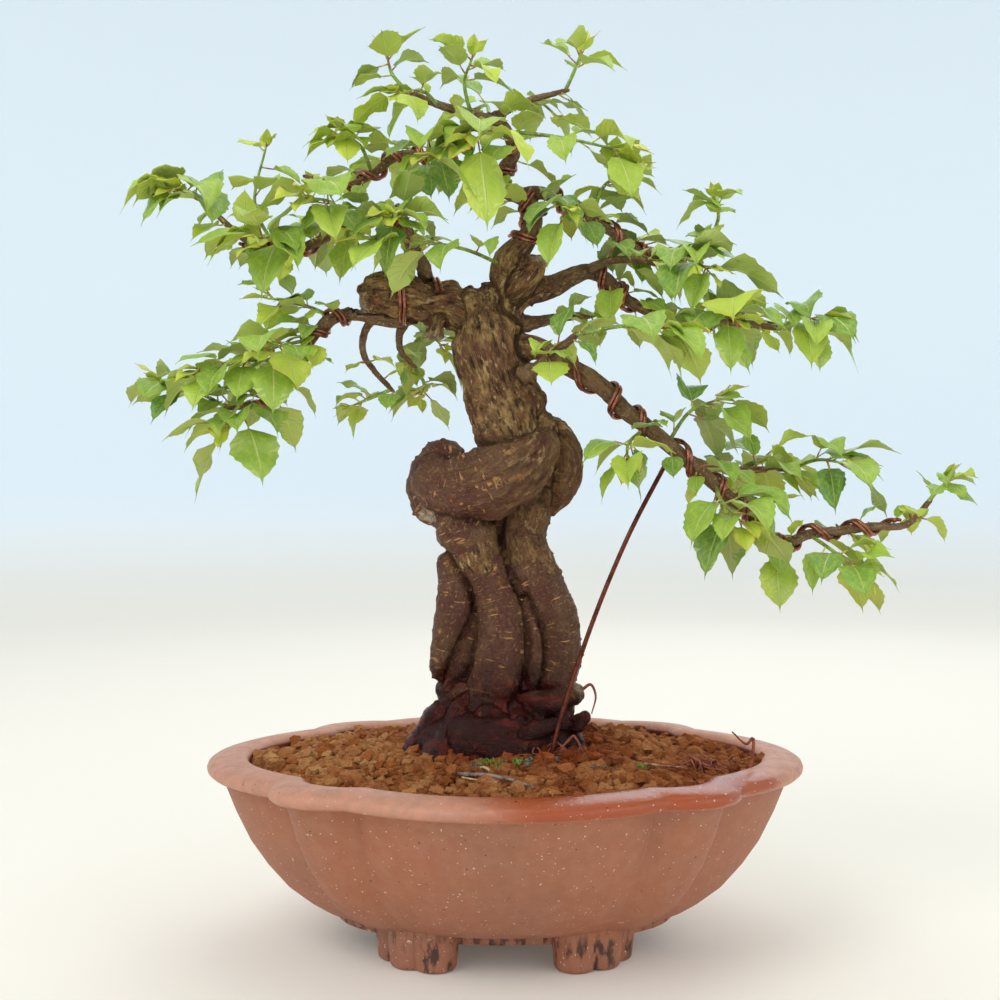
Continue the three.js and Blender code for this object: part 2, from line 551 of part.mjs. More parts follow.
function makeGuy(extra = 0) {
  const hold = routeOf(branchRoute(guyBranch.branch)).getPoint(guyBranch.at);
  const girth = radiusAt(branchRadii(guyBranch.branch), guyBranch.at);
  const top = [hold.x, hold.y, hold.z - girth - wireThickness - guyRadius - 4 * clearance];
  const anchor = onTree([22, -34, 0]);
  const foot = [anchor[0], anchor[1], anchor[2] - guyDepthInSoil];
  const bow = [0.35, 0.7].map((share) => [
    anchor[0] + (top[0] - anchor[0]) * share - 4 * Math.sin(Math.PI * share),
    anchor[1] + (top[1] - anchor[1]) * share,
    anchor[2] + (top[2] - anchor[2]) * share + 5 * Math.sin(Math.PI * share)]);
  const points = [foot, anchor, ...bow, top];
  return tube(points, points.map(() => guyRadius), { sides: 6, extra, stepsPerSpan: 3 });
}

// ---- Shoots ----

function wobble(number) {
  const wave = Math.sin(number * 12.9898) * 43758.5453;
  return wave - Math.floor(wave);
}

// A leaf as a thin arched blade: pointed at the twig, at the tip and at its two widest points.
function makeLeaf(base, heading, length, droop, extra = 0) {
  const side = heading.clone().cross(new THREE.Vector3(0, 0, 1)).normalize();
  const arched = heading.clone().add(new THREE.Vector3(0, 0, -droop)).normalize();
  const middle = base.clone().addScaledVector(heading, length * 0.45);
  const tip = middle.clone().addScaledVector(arched, length * 0.6);
  const up = side.clone().cross(heading.clone().add(arched)).normalize(); // square to both halves
  const geometry = new THREE.OctahedronGeometry(1);
  const position = geometry.attributes.position;
  for (let i = 0; i < position.count; i += 1) {
    const along = position.getY(i);
    const point = (Math.abs(along) < 0.5 ? middle : along > 0 ? tip : base).clone();
    point.addScaledVector(side, position.getX(i) * (length * leafWidthShare / 2 + extra));
    point.addScaledVector(up, position.getZ(i) * (leafThickness / 2 + extra));
    position.setXYZ(i, point.x, point.y, point.z);
  }
  return toSolid(geometry);
}

function leafHeading(tangent, angle) {
  const level = tangent.clone().cross(new THREE.Vector3(0, 0, 1)).normalize();
  const upright = level.clone().cross(tangent);
  const heading = level.multiplyScalar(Math.cos(angle)).addScaledVector(upright, Math.sin(angle));
  heading.multiplyScalar(Math.cos(leafLean)).addScaledVector(tangent, Math.sin(leafLean));
  heading.z = heading.z * 0.6 + 0.1;
  return heading.normalize();
}

function boxesMeet(a, b) {
  return [0, 1, 2].every((axis) => a.min[axis] <= b.max[axis] && b.min[axis] <= a.max[axis]);
}

function nearTo(solid, obstacles) {
  const box = solid.boundingBox();
  return obstacles.filter((obstacle) => boxesMeet(box, obstacle.boundingBox()));
}

function isBlocked(solid, obstacles) {
  return nearTo(solid, obstacles).some((obstacle) => solid.intersect(obstacle).volume() > 0);
}

// A shoot grows its leaves one by one; a leaf that would cut another piece turns aside.
function makeShoot([route, leaves, length, droop], number, obstacles) {
  const points = route.map(onTree);
  const curve = routeOf(points);
  const radii = points.map((_, i) => twigRadius * (1 - 0.2 * i / (points.length - 1)));
  const whole = tube(points, radii, { sides: shootSides });
  const twig = largestPiece(nearTo(whole, obstacles).reduce((rest, obstacle) => rest.subtract(obstacle), whole));
  const spaces = [tube(points, radii, { sides: shootSides, extra: clearance })];
  const slivers = sliverCount(toGeometry(twig));
  let shoot = twig;
  for (let i = 0; i < leaves; i += 1) {
    const share = firstLeafShare + (1 - firstLeafShare) * (i + 0.5) / leaves;
    const base = curve.getPoint(share);
    const size = length * (0.85 + 0.3 * wobble(number * 17 + i));
    for (let attempt = 0; attempt < leafTries; attempt += 1) {
      const angle = number + i * goldenAngle + attempt * 0.7;
      const heading = leafHeading(curve.getTangent(share), angle);
      const leaf = makeLeaf(base, heading, size, droop);
      const grown = shoot.add(leaf);
      const surface = toGeometry(grown);
      const isSound = grown.decompose().length === 1 && isClosed(surface) && sliverCount(surface) <= slivers;
      if (isSound && !isBlocked(leaf, obstacles)) {
        shoot = grown;
        spaces.push(makeLeaf(base, heading, size, droop, clearance));
        break;
      }
    }
  }
  return { shoot, space: joined(spaces) };
}

// ---- Assembly ----

const finishes = {
  clay: { color: 0x9c6850, roughness: 0.75, metalness: 0 },
  soil: { color: 0xa5672f, roughness: 1, metalness: 0 },
  bark: { color: 0x5d4636, roughness: 0.9, metalness: 0 },
  leaf: { color: 0x7fa83c, roughness: 0.6, metalness: 0 },
  wire: { color: 0x7a3f2b, roughness: 0.35, metalness: 0.9 },
  plastic: { color: 0x1d1f1e, roughness: 0.6, metalness: 0 },
};

const tree = new THREE.Group();

function addPiece(name, solid, finish) {
  const mesh = new THREE.Mesh(toGeometry(solid), new THREE.MeshStandardMaterial(finishes[finish]));
  mesh.name = name;
  tree.add(mesh);
}

const woodSpace = makeWood(clearance);
const guySpace = makeGuy(clearance);
addPiece('pot', makePot(), 'clay');
for (const [side, name] of [[-1, 'left'], [1, 'right']]) {
  addPiece(`drain_screen_${name}`, makeScreen(side), 'plastic');
  addPiece(`screen_clip_${name}`, makeClip(side), 'wire');
}
const soil = makeSoil(woodSpace.add(guySpace));
addPiece('soil', soil, 'soil');
addPiece('trunk', makeWood(), 'bark');
addPiece('guy_wire', largestPiece(makeGuy().subtract(woodSpace)), 'wire');

const obstacles = [woodSpace, guySpace];
for (const [name, winding] of Object.entries(wires)) {
  const clear = obstacles.reduce((rest, obstacle) => rest.subtract(obstacle), makeWire(winding));
  addPiece(name, largestPiece(clear), 'wire');
  obstacles.push(makeWire(winding, clearance));
}
Object.entries(shoots).forEach(([name, growth], number) => {
  const { shoot, space } = makeShoot(growth, number, obstacles);
  addPiece(name, shoot, 'leaf');
  obstacles.push(space);
});

// The origin goes under the middle of everything, where the feet stand.
const extent = new THREE.Box3().setFromObject(tree);
const middle = extent.getCenter(new THREE.Vector3());
tree.position.set(-Math.round(middle.x), -Math.round(middle.y), -extent.min.z);

const group = new THREE.Group();
group.add(tree);

export default group;
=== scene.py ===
# Bonsai tree in a pot: a wired fruit-tree bonsai in granular soil, in a lobed oval clay bowl.
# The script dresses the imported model. Every piece is drawn in millimetres from the middle of the
# pot, where it stands, and is then put into the frame, in metres. Tree heights are above the soil.

import math
import random
from collections import namedtuple

import bmesh
import bpy
from mathutils import Matrix, Vector, noise
from mathutils.bvhtree import BVHTree
from mathutils.kdtree import KDTree


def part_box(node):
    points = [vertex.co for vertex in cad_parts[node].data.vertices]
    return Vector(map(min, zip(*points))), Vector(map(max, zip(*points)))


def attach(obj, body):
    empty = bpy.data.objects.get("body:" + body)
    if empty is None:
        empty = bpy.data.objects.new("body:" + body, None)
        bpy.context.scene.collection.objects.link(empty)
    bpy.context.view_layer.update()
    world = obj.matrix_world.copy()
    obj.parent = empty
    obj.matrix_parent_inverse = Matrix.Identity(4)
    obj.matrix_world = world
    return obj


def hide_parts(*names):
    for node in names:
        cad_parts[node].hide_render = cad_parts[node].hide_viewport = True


bl_info = {
    "name": "Bonsai Tree in a Pot",
    "version": (1, 0, 0),
    "blender": (4, 5, 0),
    "location": "3D View > Sidebar > Bonsai",
    "description": "Makes the wood, leaves, training wires, soil and clay pot of a bonsai tree",
    "category": "Object",
}

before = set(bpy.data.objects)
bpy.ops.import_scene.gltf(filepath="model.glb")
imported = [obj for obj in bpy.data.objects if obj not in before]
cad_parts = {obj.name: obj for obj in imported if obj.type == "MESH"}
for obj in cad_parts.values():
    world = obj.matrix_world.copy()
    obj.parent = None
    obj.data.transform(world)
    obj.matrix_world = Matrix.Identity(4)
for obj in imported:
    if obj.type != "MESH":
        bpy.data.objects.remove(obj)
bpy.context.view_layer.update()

# ---- Places in the frame ----

pot_low, pot_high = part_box("pot")
pot_height = (pot_high[2] - pot_low[2]) * 1000
half_length = (pot_high[0] - pot_low[0]) * 500
half_width = (pot_high[1] - pot_low[1]) * 500
pot_middle = Vector(((pot_low[0] + pot_high[0]) / 2, (pot_low[1] + pot_high[1]) / 2, pot_low[2]))
to_frame = Matrix.Translation(pot_middle) @ Matrix.Scale(0.001, 4)
from_frame = to_frame.inverted()

soil_recess = 8.5  # from the rim down to the soil, at the wall
mound_height = 11  # from there up to the soil at the trunk
soil_level = pot_height - soil_recess + mound_height
golden_angle = math.radians(137.5)
Sample = namedtuple("Sample", "branch kind radius centre tangent across other along")

# ---- Wood: the finish of the bark, and centre lines as [x, y, height above soil, radius] ----

wood = {
    "stem_front": ("stem", [
        [-11, -13, -25, 16], [-10, -14, 12, 16], [-7, -14, 26, 14.2], [-4, -13, 38, 12.6],
        [-2, -13, 50, 11.9], [-2, -12, 61, 11.6], [-4, -10, 73, 10.2], [-8, -8, 84, 10.6],
        [-14, -7, 95, 12.8], [-20, -6, 109, 15], [-27, -4, 124, 16]]),
    "stem_right": ("stem", [
        [16, -3, -25, 14], [22, -3, 14, 12.5], [26, -1, 35, 10.5], [28.5, -1, 49, 10.2], [27, -1, 62, 10.8],
        [20.5, 0, 75, 12.6], [13, 0, 90, 12.9], [9, 2, 106, 11.5], [12, 2, 124, 14]]),
    "stem_strand": ("stem", [
        [10, -5, 78, 3], [13, -7, 64, 3.6], [14.5, -8, 52, 4.2], [13.5, -9, 38, 4.4], [11, -10, 22, 4.6]]),
    "stem_left": ("stem", [
        [-34, -8, 35, 3.6], [-32.4, -9, 45, 5.8], [-29.6, -9, 56, 7.4], [-26, -8, 69, 9.3],
        [-25, -7, 81, 8.8], [-27, -6, 92, 7], [-24, -3, 103, 6]]),
    "stem_left_behind": ("stem", [
        [-27, -5, -22, 12], [-27, -5, 14, 9.6], [-25.5, -5, 31, 9.2], [-22, -4, 45, 8.2], [-18, -2, 58, 7.6],
        [-15, 2, 72, 7.5], [-10, 6, 96, 8]]),
    "stem_back": ("stem", [
        [0, 13, -22, 16], [3, 13, 30, 12], [-5, 12, 60, 11.5], [2, 12, 92, 12], [3, 10, 118, 14]]),
    "root_crown": ("stem", [
        [-33, -14, 3, 13], [-20, -17, 5, 18], [-2, -19, 5, 20], [14, -17, 3, 17], [28, -12, 2, 11]]),
    "root_left": ("stem", [[-22, -7, 28, 9], [-31, -10, 13, 11], [-42, -12, -2, 10], [-50, -14, -14, 8]]),
    "root_left_front": ("stem", [[-18, -13, 22, 10], [-26, -21, 8, 11], [-35, -30, -8, 9.5]]),
    "root_front": ("stem", [[-8, -17, 22, 12], [-10, -22, 8, 13], [-14, -29, -10, 12]]),
    "root_front_right": ("stem", [[4, -15, 20, 10], [11, -23, 6, 10], [18, -31, -10, 8]]),
    "root_right": ("stem", [[18, -6, 20, 11], [29, -9, 5, 10], [39, -12, -10, 7]]),
    "root_back": ("stem", [[4, 18, 14, 13], [9, 32, 2, 10], [12, 42, -12, 7]]),
    "root_stub": ("stem", [
        [0, -13, 22, 7], [12, -17, 24, 7], [24, -18, 25, 6.2], [33, -18, 28, 4.6], [38.5, -18, 30, 4.2]]),
    "root_wet": ("stem", [
        [-5, -28, 7, 3], [2, -31, 9.5, 4.8], [12, -31, 12, 5.2], [22, -28, 14.5, 4.8], [31, -23, 15, 3.4]]),
    "root_knob": ("stem", [[24, -17, 12, 5], [35, -18, 14, 4.8], [41, -18, 20, 3]]),
    "fold_front": ("old", [
        [-37, 1, 138, 14], [-33, -6, 130, 15.5], [-20, -11, 128, 17], [-4, -12, 134, 19],
        [10, -7, 146, 17], [14, -2, 158, 15]]),
    "fold_back": ("old", [
        [14, 9, 120, 11], [24, 9, 132, 13], [26, 7, 146, 13.5], [16, 3, 160, 13]]),
    "fold_left": ("old", [
        [-22, -3, 116, 15], [-34, -1, 127, 15.5], [-37, 3, 140, 13.5], [-22, 6, 140, 13]]),
    "trunk": ("old", [
        [8, 1, 138, 18], [6, 0, 156, 21], [1, 0, 171, 19.5], [-4, 0, 185, 18.6],
        [-9, 0, 205, 18.5], [-11, 0, 220, 16]]),
    "heavy_limb": ("old", [
        [-10, 0, 210, 15], [-25, 0, 221, 12.5], [-38, 0, 222, 11.3], [-50, -1, 226, 12],
        [-63, -2, 227, 10.5], [-72, -2, 224, 7]]),
    "leader": ("branch", [
        [-6, 0, 218, 14], [0.5, 0, 232, 9.5], [1.5, 1, 244, 8], [11, 2, 255, 5.5],
        [14.5, 3, 268, 4.5], [9, 4, 276, 4.2], [-0.5, 3, 280, 4], [-1, 2, 289, 3.8],
        [4.5, 0, 297, 3.5], [2, -2, 306, 3.2], [-6, -1, 318, 2.6]]),
    "right_limb": ("branch", [
        [-4, 2, 222, 13], [8, 2, 229, 9], [23, 3, 231, 6], [33, 4, 236, 5], [42, 4, 239, 4],
        [52, 3, 234, 3.5], [62, 2, 224, 3], [79, 0, 216, 2.6], [98, -2, 213, 2.3],
        [118, -4, 212, 2], [138, -6, 209, 1.6]]),
    "cut_stub": ("old", [[3, -4, 226, 8], [13, -9, 237, 6.5], [17, -11, 245, 5]]),
    "limb_stub": ("old", [[-33, -3, 216, 7], [-36, -5, 204, 4]]),
    "lower_left": ("branch", [
        [-46, 2, 218, 6], [-55, 2, 214, 4], [-74, 1, 217, 3.4], [-84, 0, 216, 3.3],
        [-95, -3, 207, 3.1], [-102, -4, 195, 3], [-110, -5, 183, 2.8], [-120, -4, 173, 2.4],
        [-143, 0, 170, 1.8]]),
    "hanging_outer": ("branch", [
        [-65, 3, 217, 2.6], [-71, 7, 209, 2.2], [-72, 9, 198, 2], [-67, 11, 190, 1.8],
        [-56, 12, 178, 1.5]]),
    "hanging_inner": ("branch", [
        [-50, 4, 215, 3], [-54, 11, 207, 2.2], [-53, 14, 199, 1.9], [-45, 17, 191, 1.5]]),
    "upper_left": ("branch", [
        [-42, 1, 226, 6], [-40, 2, 238, 3.8], [-47, 4, 252, 3.5], [-53, 6, 267, 3.3],
        [-62, 6, 267, 3.1], [-77, 5, 262, 2.8], [-101, 2, 251, 2.6], [-113, 0, 248, 2.4],
        [-128, -3, 253, 2.1], [-148, -5, 270, 1.5]]),
    "upper_left_behind": ("branch", [
        [-1, 2, 284, 3.6], [-20, 10, 292, 3], [-40, 14, 299, 2.6], [-54, 16, 300, 2.5],
        [-69, 18, 290, 2.3], [-81, 18, 285, 2.1], [-104, 18, 290, 1.6]]),
    "apex_left": ("branch", [
        [-1, -2, 312, 3], [-24, -3, 318, 2.4], [-40, -5, 323, 2.1], [-51, -6, 328, 1.7]]),
    "apex_right": ("branch", [
        [-6, -1, 315, 2.6], [11, 2, 324, 2], [25, 3, 328, 1.7], [33, 4, 330, 1.4]]),
    "right_upper": ("branch", [
        [7, 4, 277, 4], [17, 5, 279, 3.4], [29, 6, 274, 3.2], [39, 7, 268, 3], [58, 7, 257, 2.7],
        [71, 7, 248, 2.5], [85, 6, 247, 2.2], [107, 4, 256, 1.7]]),
    "right_upper_front": ("branch", [
        [41, 4, 239, 3.4], [52, -5, 243, 2.3], [66, -13, 242, 2], [78, -18, 239, 1.6]]),
    "right_middle": ("branch", [
        [-2, 4, 211, 7], [16, 9, 214, 3.4], [29, 14, 217, 2.6], [48, 20, 219, 1.9]]),
    "front_spur": ("branch", [
        [4, -8, 184, 6], [14, -20, 188, 3.2], [24, -32, 195, 2.4], [35, -40, 204, 2]]),
    "cascade": ("branch", [
        [2, -2, 198, 10], [14, -6, 200, 6], [30, -9, 191, 5], [49, -12, 179, 4.5],
        [58, -13, 169, 4.3], [70, -14, 160, 4.1], [89, -15, 144, 3.8], [103, -15, 132, 3.5],
        [112, -15, 124, 3.3], [122, -15, 117, 3.1], [128, -15, 107, 3], [136, -15, 102, 2.9],
        [149, -15, 107, 2.7], [166, -15, 109, 2.5], [181, -15, 111, 2.3], [198, -15, 112, 2],
        [211, -15, 126, 1.5]]),
    "cascade_side": ("branch", [
        [88, -14, 145, 3], [98, -5, 142, 2.4], [112, 2, 139, 2.2], [128, 6, 139, 2],
        [148, 8, 140, 1.6]]),
}

# Pruning wounds as [x, y, height above soil, radius]: pale wood with a rolled edge.
wounds = [
    [-41, -12, 114, 6], [39, -18, 30, 6], [17, -12, 246, 6], [-36, -6, 203, 5], [-72, -3, 223, 7]]

# ---- Training wires: the branch, from and to as shares of its route, turns, first angle ----

wires = {
    "wire_heavy_limb": ("heavy_limb", 0.3, 0.72, 1.2, 200),
    "wire_lower_left": ("lower_left", 0.3, 0.9, 4.6, 0),
    "wire_upper_left": ("upper_left", 0.16, 0.9, 6, 60),
    "wire_upper_left_behind": ("upper_left_behind", 0.12, 0.85, 4.6, 0),
    "wire_leader": ("leader", 0.27, 0.5, 2.6, 90),
    "wire_apex": ("leader", 0.64, 0.9, 2.1, 0),
    "wire_right_upper": ("right_upper", 0.2, 0.9, 4.6, 30),
    "wire_right_limb": ("right_limb", 0.42, 0.9, 4.6, 0),
    "wire_cascade": ("cascade", 0.13, 0.92, 10, 120),
}
steps_per_turn = 26
guy_route = {"branch": "cascade", "at": 0.345, "anchor": [22, -34, 0], "buried": 14, "radius": 1.15}

# ---- Leafy shoots: the twig's route, how many full leaves, their length, how far they droop ----

shoots = {
    "shoot_lower_left_end": ([[-139, 0, 170], [-154, -6, 178], [-170, -10, 183]], 6, 28, 1.0),
    "shoot_lower_left_front": ([[-103, -5, 193], [-124, -24, 192], [-146, -34, 186]], 6, 30, 1.2),
    "shoot_lower_left_back": ([[-117, -4, 175], [-126, 18, 186], [-134, 34, 197]], 5, 27, 1.0),
    "shoot_lower_left_top": ([[-85, 0, 215], [-101, 6, 222], [-119, 8, 226]], 6, 25, 0.8),
    "shoot_lower_left_hang": ([[-124, -4, 172], [-130, -16, 166], [-136, -26, 160]], 5, 36, 1.8),
    "shoot_lower_left_mid": ([[-97, -3, 204], [-106, -22, 200], [-114, -36, 196]], 5, 31, 1.4),
    "shoot_hanging_outer": ([[-58, 12, 180], [-68, 14, 176], [-78, 16, 172]], 4, 20, 1.2),
    "shoot_hanging_inner": ([[-46, 17, 191], [-42, 24, 184], [-44, 32, 178]], 4, 22, 1.2),
    "shoot_limb_back": ([[-40, 4, 218], [-42, 34, 214], [-34, 52, 206]], 5, 28, 1.2),
    "shoot_upper_left_end": ([[-146, -5, 268], [-153, -12, 274], [-158, -22, 274]], 5, 36, 1.7),
    "shoot_upper_left_stub": ([[-114, 0, 249], [-126, 4, 272], [-120, 4, 303]], 5, 20, 0.9),
    "shoot_upper_left_low": ([[-102, 2, 251], [-110, -24, 252], [-116, -40, 248]], 5, 36, 1.6),
    "shoot_upper_left_front": ([[-78, 5, 262], [-84, -26, 268], [-92, -48, 266]], 5, 36, 1.5),
    "shoot_upper_left_back": ([[-90, 4, 256], [-98, 34, 264], [-106, 52, 268]], 5, 28, 1.1),
    "shoot_upper_left_inner": ([[-53, 6, 267], [-50, -22, 262], [-54, -44, 258]], 6, 32, 1.5),
    "shoot_behind_front": ([[-68, 18, 291], [-72, -6, 300], [-78, -20, 302]], 6, 26, 1.0),
    "shoot_behind_back": ([[-54, 16, 300], [-60, 40, 306], [-70, 58, 304]], 5, 28, 1.0),
    "shoot_behind_inner": ([[-38, 14, 298], [-34, -14, 296], [-36, -36, 288]], 6, 31, 1.4),
    "shoot_apex_left_end": ([[-49, -6, 327], [-56, -8, 335], [-58, -10, 342]], 5, 24, 0.8),
    "shoot_apex_left_front": ([[-33, -4, 320], [-40, -24, 322], [-50, -36, 318]], 6, 26, 1.1),
    "shoot_apex_middle": ([[-17, -3, 316], [-20, -10, 330], [-16, -18, 340]], 6, 25, 0.9),
    "shoot_apex_back": ([[-8, -1, 317], [-10, 26, 328], [-18, 44, 330]], 6, 26, 0.9),
    "shoot_apex_right_end": ([[30, 4, 329], [35, 5, 340], [38, 4, 348]], 5, 24, 0.9),
    "shoot_apex_right_back": ([[12, 2, 324], [18, 26, 330], [28, 42, 326]], 5, 26, 1.0),
    "shoot_apex_front": ([[2, -2, 306], [-6, -24, 304], [-14, -38, 296]], 6, 38, 1.9),
    "shoot_green_twig": ([[1, -2, 308], [28, -14, 302], [56, -18, 295]], 6, 30, 1.6),
    "shoot_centre_twig": ([[0, 0, 241], [-24, -30, 246], [-66, -42, 248]], 6, 30, 1.4),
    "shoot_right_upper_left": ([[29, 6, 274], [24, -20, 270], [30, -38, 262]], 5, 28, 1.3),
    "shoot_right_upper_top": ([[44, 7, 265], [50, 4, 282], [62, 0, 288]], 6, 26, 1.0),
    "shoot_right_upper_back": ([[64, 7, 253], [72, 36, 258], [84, 52, 254]], 5, 28, 1.1),
    "shoot_right_upper_end": ([[104, 4, 255], [107, 0, 266], [104, -6, 274]], 4, 23, 0.9),
    "shoot_right_front": ([[76, -17, 240], [88, -30, 240], [96, -40, 234]], 6, 33, 1.5),
    "shoot_right_limb_end": ([[135, -6, 209], [146, -10, 214], [153, -16, 212]], 6, 33, 1.4),
    "shoot_right_limb_front": ([[97, -2, 213], [100, -26, 214], [108, -44, 210]], 6, 34, 1.5),
    "shoot_right_limb_back": ([[110, -3, 212], [118, 24, 220], [126, 38, 220]], 5, 27, 1.0),
    "shoot_front_spur": ([[34, -40, 203], [56, -50, 206], [80, -54, 204]], 6, 35, 1.7),
    "shoot_cascade_low_left": ([[70, -14, 160], [60, -26, 152], [58, -38, 144]], 5, 27, 1.3),
    "shoot_cascade_top": ([[80, -15, 152], [92, -8, 168], [106, -2, 174]], 6, 29, 1.1),
    "shoot_cascade_hang": ([[104, -15, 131], [104, -32, 124], [112, -42, 114]], 5, 36, 1.8),
    "shoot_cascade_side_end": ([[146, 8, 140], [158, 2, 144], [170, -6, 142]], 6, 34, 1.5),
    "shoot_cascade_side_back": ([[126, 6, 139], [132, 28, 146], [144, 42, 144]], 5, 28, 1.0),
    "shoot_cascade_low_right": ([[150, -15, 107], [158, -28, 100], [168, -36, 92]], 6, 29, 1.4),
    "shoot_cascade_end": ([[208, -15, 123], [213, -19, 130], [216, -22, 134]], 4, 20, 1.1),
}
# Branches with leaves on short spurs of their own: from and to as shares, how many, length, droop.
spurs = {
    "lower_left": (0.36, 1, 18, 25, 1.2),
    "hanging_outer": (0.6, 1, 3, 18, 1.4),
    "hanging_inner": (0.6, 1, 3, 20, 1.4),
    "upper_left": (0.16, 1, 24, 26, 1.2),
    "upper_left_behind": (0.14, 1, 13, 24, 1.1),
    "leader": (0.4, 1, 9, 26, 1.3),
    "apex_left": (0.2, 1, 3, 20, 0.9),
    "apex_right": (0.2, 1, 3, 20, 0.9),
    "right_upper": (0.25, 1, 18, 24, 1.1),
    "right_upper_front": (0.3, 1, 6, 26, 1.3),
    "right_middle": (0.45, 1, 6, 26, 1.2),
    "right_limb": (0.4, 1, 16, 26, 1.3),
    "front_spur": (0.4, 1, 6, 26, 1.4),
    "cascade": (0.3, 1, 21, 26, 1.3),
    "cascade_side": (0.3, 1, 11, 27, 1.2),
}
first_leaf_share = 0.4  # bare stretch of a twig before its first leaf
bare_above = 300  # height above the soil where shoots have only the model's own leaves
leaf_lean = math.radians(32)  # from square to the twig towards its tip
under_face, stalk_face, twig_face = 1, 2, 3  # places in a shoot's list of materials


# ---- Routes and meshes ----


def on_tree(x, y, height):
    """A place on the tree, in millimetres from the middle of the pot."""
    return Vector((x, y, soil_level + height))


def held(value):
    """A number held between 0 and 1."""
    return min(max(value, 0), 1)


def wobble(number):
    """A steady stand-in for chance, from 0 to 1."""
    wave = math.sin(number * 12.9898) * 43758.5453
    return wave - math.floor(wave)


def route_point(points, share):
    """A point on a centripetal Catmull-Rom curve, each span an equal share of it."""
    spans = len(points) - 1
    place = held(share) * spans
    span = min(int(place), spans - 1)
    weight = place - span
    before = points[span - 1] if span > 0 else points[0] * 2 - points[1]
    after = points[span + 2] if span + 2 <= spans else points[-1] * 2 - points[-2]
    start, end = points[span], points[span + 1]
    gaps = [max((b - a).length ** 0.5, 1e-4) for a, b in ((before, start), (start, end), (end, after))]
    leave = (start - before) / gaps[0] - (end - before) / (gaps[0] + gaps[1]) + (end - start) / gaps[1]
    arrive = (end - start) / gaps[1] - (after - start) / (gaps[1] + gaps[2]) + (after - end) / gaps[2]
    leave, arrive = leave * gaps[1], arrive * gaps[1]
    cubic = (start - end) * 2 + leave + arrive
    square = (end - start) * 3 - leave * 2 - arrive
    return ((cubic * weight + square) * weight + leave) * weight + start


def frames_along(points, start, end, steps):
    """Centre, tangent and two square directions at each step, carried along without twist."""
    frames = []
    across = Vector((0, 1, 0))
    reach = 1e-4
    for step in range(steps + 1):
        share = start + (end - start) * step / steps
        tangent = (route_point(points, share + reach) - route_point(points, share - reach)).normalized()
        across = (across - tangent * across.dot(tangent)).normalized()
        frames.append((share, route_point(points, share), tangent, across, tangent.cross(across)))
    return frames


def radius_at(radii, share):
    """The girth on a route, even between its points."""
    place = share * (len(radii) - 1)
    before = min(int(place), len(radii) - 2)
    return radii[before] + (radii[before + 1] - radii[before]) * (place - before)


def branch(name):
    """The centre line and the radii of a branch."""
    route = wood[name][1]
    return [on_tree(*point[:3]) for point in route], [point[3] for point in route]


def route_length(points, steps=60):
    """The length of a route in millimetres."""
    places = [route_point(points, step / steps) for step in range(steps + 1)]
    return sum((b - a).length for a, b in zip(places, places[1:]))


def roll_tube(mesh, points, radii, sides, steps, start=0.0, end=1.0, taper=0.0):
    """A grid rolled round a route: its long side runs along, its short side closes on itself."""
    frames = frames_along(points, start, end, steps)
    grid = bmesh.ops.create_grid(mesh, x_segments=sides, y_segments=steps, size=1)["verts"]
    for corner in grid:
        turn = math.pi * (corner.co.x + 1)
        step = round((corner.co.y + 1) / 2 * steps)
        share, centre, _, across, other = frames[step]
        at_end = taper if step in (0, steps) else 0
        radius = radius_at(radii, share) * (1 - at_end)
        corner.co = centre + (across * math.cos(turn) + other * math.sin(turn)) * radius
    return grid


def close_tubes(mesh):
    """Welds the seams of rolled tubes, closes their ends and turns every face out."""
    bmesh.ops.remove_doubles(mesh, verts=mesh.verts, dist=1e-4)
    rims = [edge for edge in mesh.edges if edge.is_boundary]
    bmesh.ops.holes_fill(mesh, edges=rims, sides=0)
    bmesh.ops.recalc_face_normals(mesh, faces=mesh.faces)


def finish_piece(mesh, name, materials, slot, *nodes, sharp_angle=60):
    """Puts a mesh drawn in millimetres into the frame as a piece that rides with the object."""
    bmesh.ops.transform(mesh, matrix=to_frame, verts=mesh.verts)
    data = bpy.data.meshes.new(name)
    mesh.to_mesh(data)
    mesh.free()
    data.shade_smooth()
    data.set_sharp_from_angle(angle=math.radians(sharp_angle))
    for material in materials:
        data.materials.append(material)
    piece = bpy.data.objects.new(name, data)
    bpy.context.scene.collection.objects.link(piece)
    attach(piece, "root")
    if nodes:
        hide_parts(*nodes)


def cad_surface(node):
    """A CAD node as a tree of its faces, for finding heights and gaps, in metres."""
    mesh = bmesh.new()
    mesh.from_mesh(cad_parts[node].data)
    surface = BVHTree.FromBMesh(mesh)
    mesh.free()
    return surface


# ---- Materials ----

soft = {"interpolation_type": "SMOOTHSTEP"}
times = {"operation": "MULTIPLY"}
plus = {"operation": "ADD"}
minus = {"operation": "SUBTRACT"}


def linear(hex_colour):
    """An sRGB hex colour as the linear one that shaders take."""
    shares = [int(hex_colour[i:i + 2], 16) / 255 for i in (1, 3, 5)]
    return [c / 12.92 if c <= 0.04045 else ((c + 0.055) / 1.055) ** 2.4 for c in shares] + [1.0]


def per_metre(millimetres):
    """The scale of a pattern whose features are this many millimetres across."""
    return 1000 / millimetres


def add_node(tree, kind, inputs=(), output=0, **settings):
    """Adds a shader node with its settings and links, and gives one of its outputs."""
    node = tree.nodes.new("ShaderNode" + kind)
    for name, value in settings.items():
        setattr(node, name, value)
    for socket, value in dict(inputs).items():
        if isinstance(value, bpy.types.NodeSocket):
            tree.links.new(value, node.inputs[socket])
        else:
            node.inputs[socket].default_value = value
    return node.outputs[output]


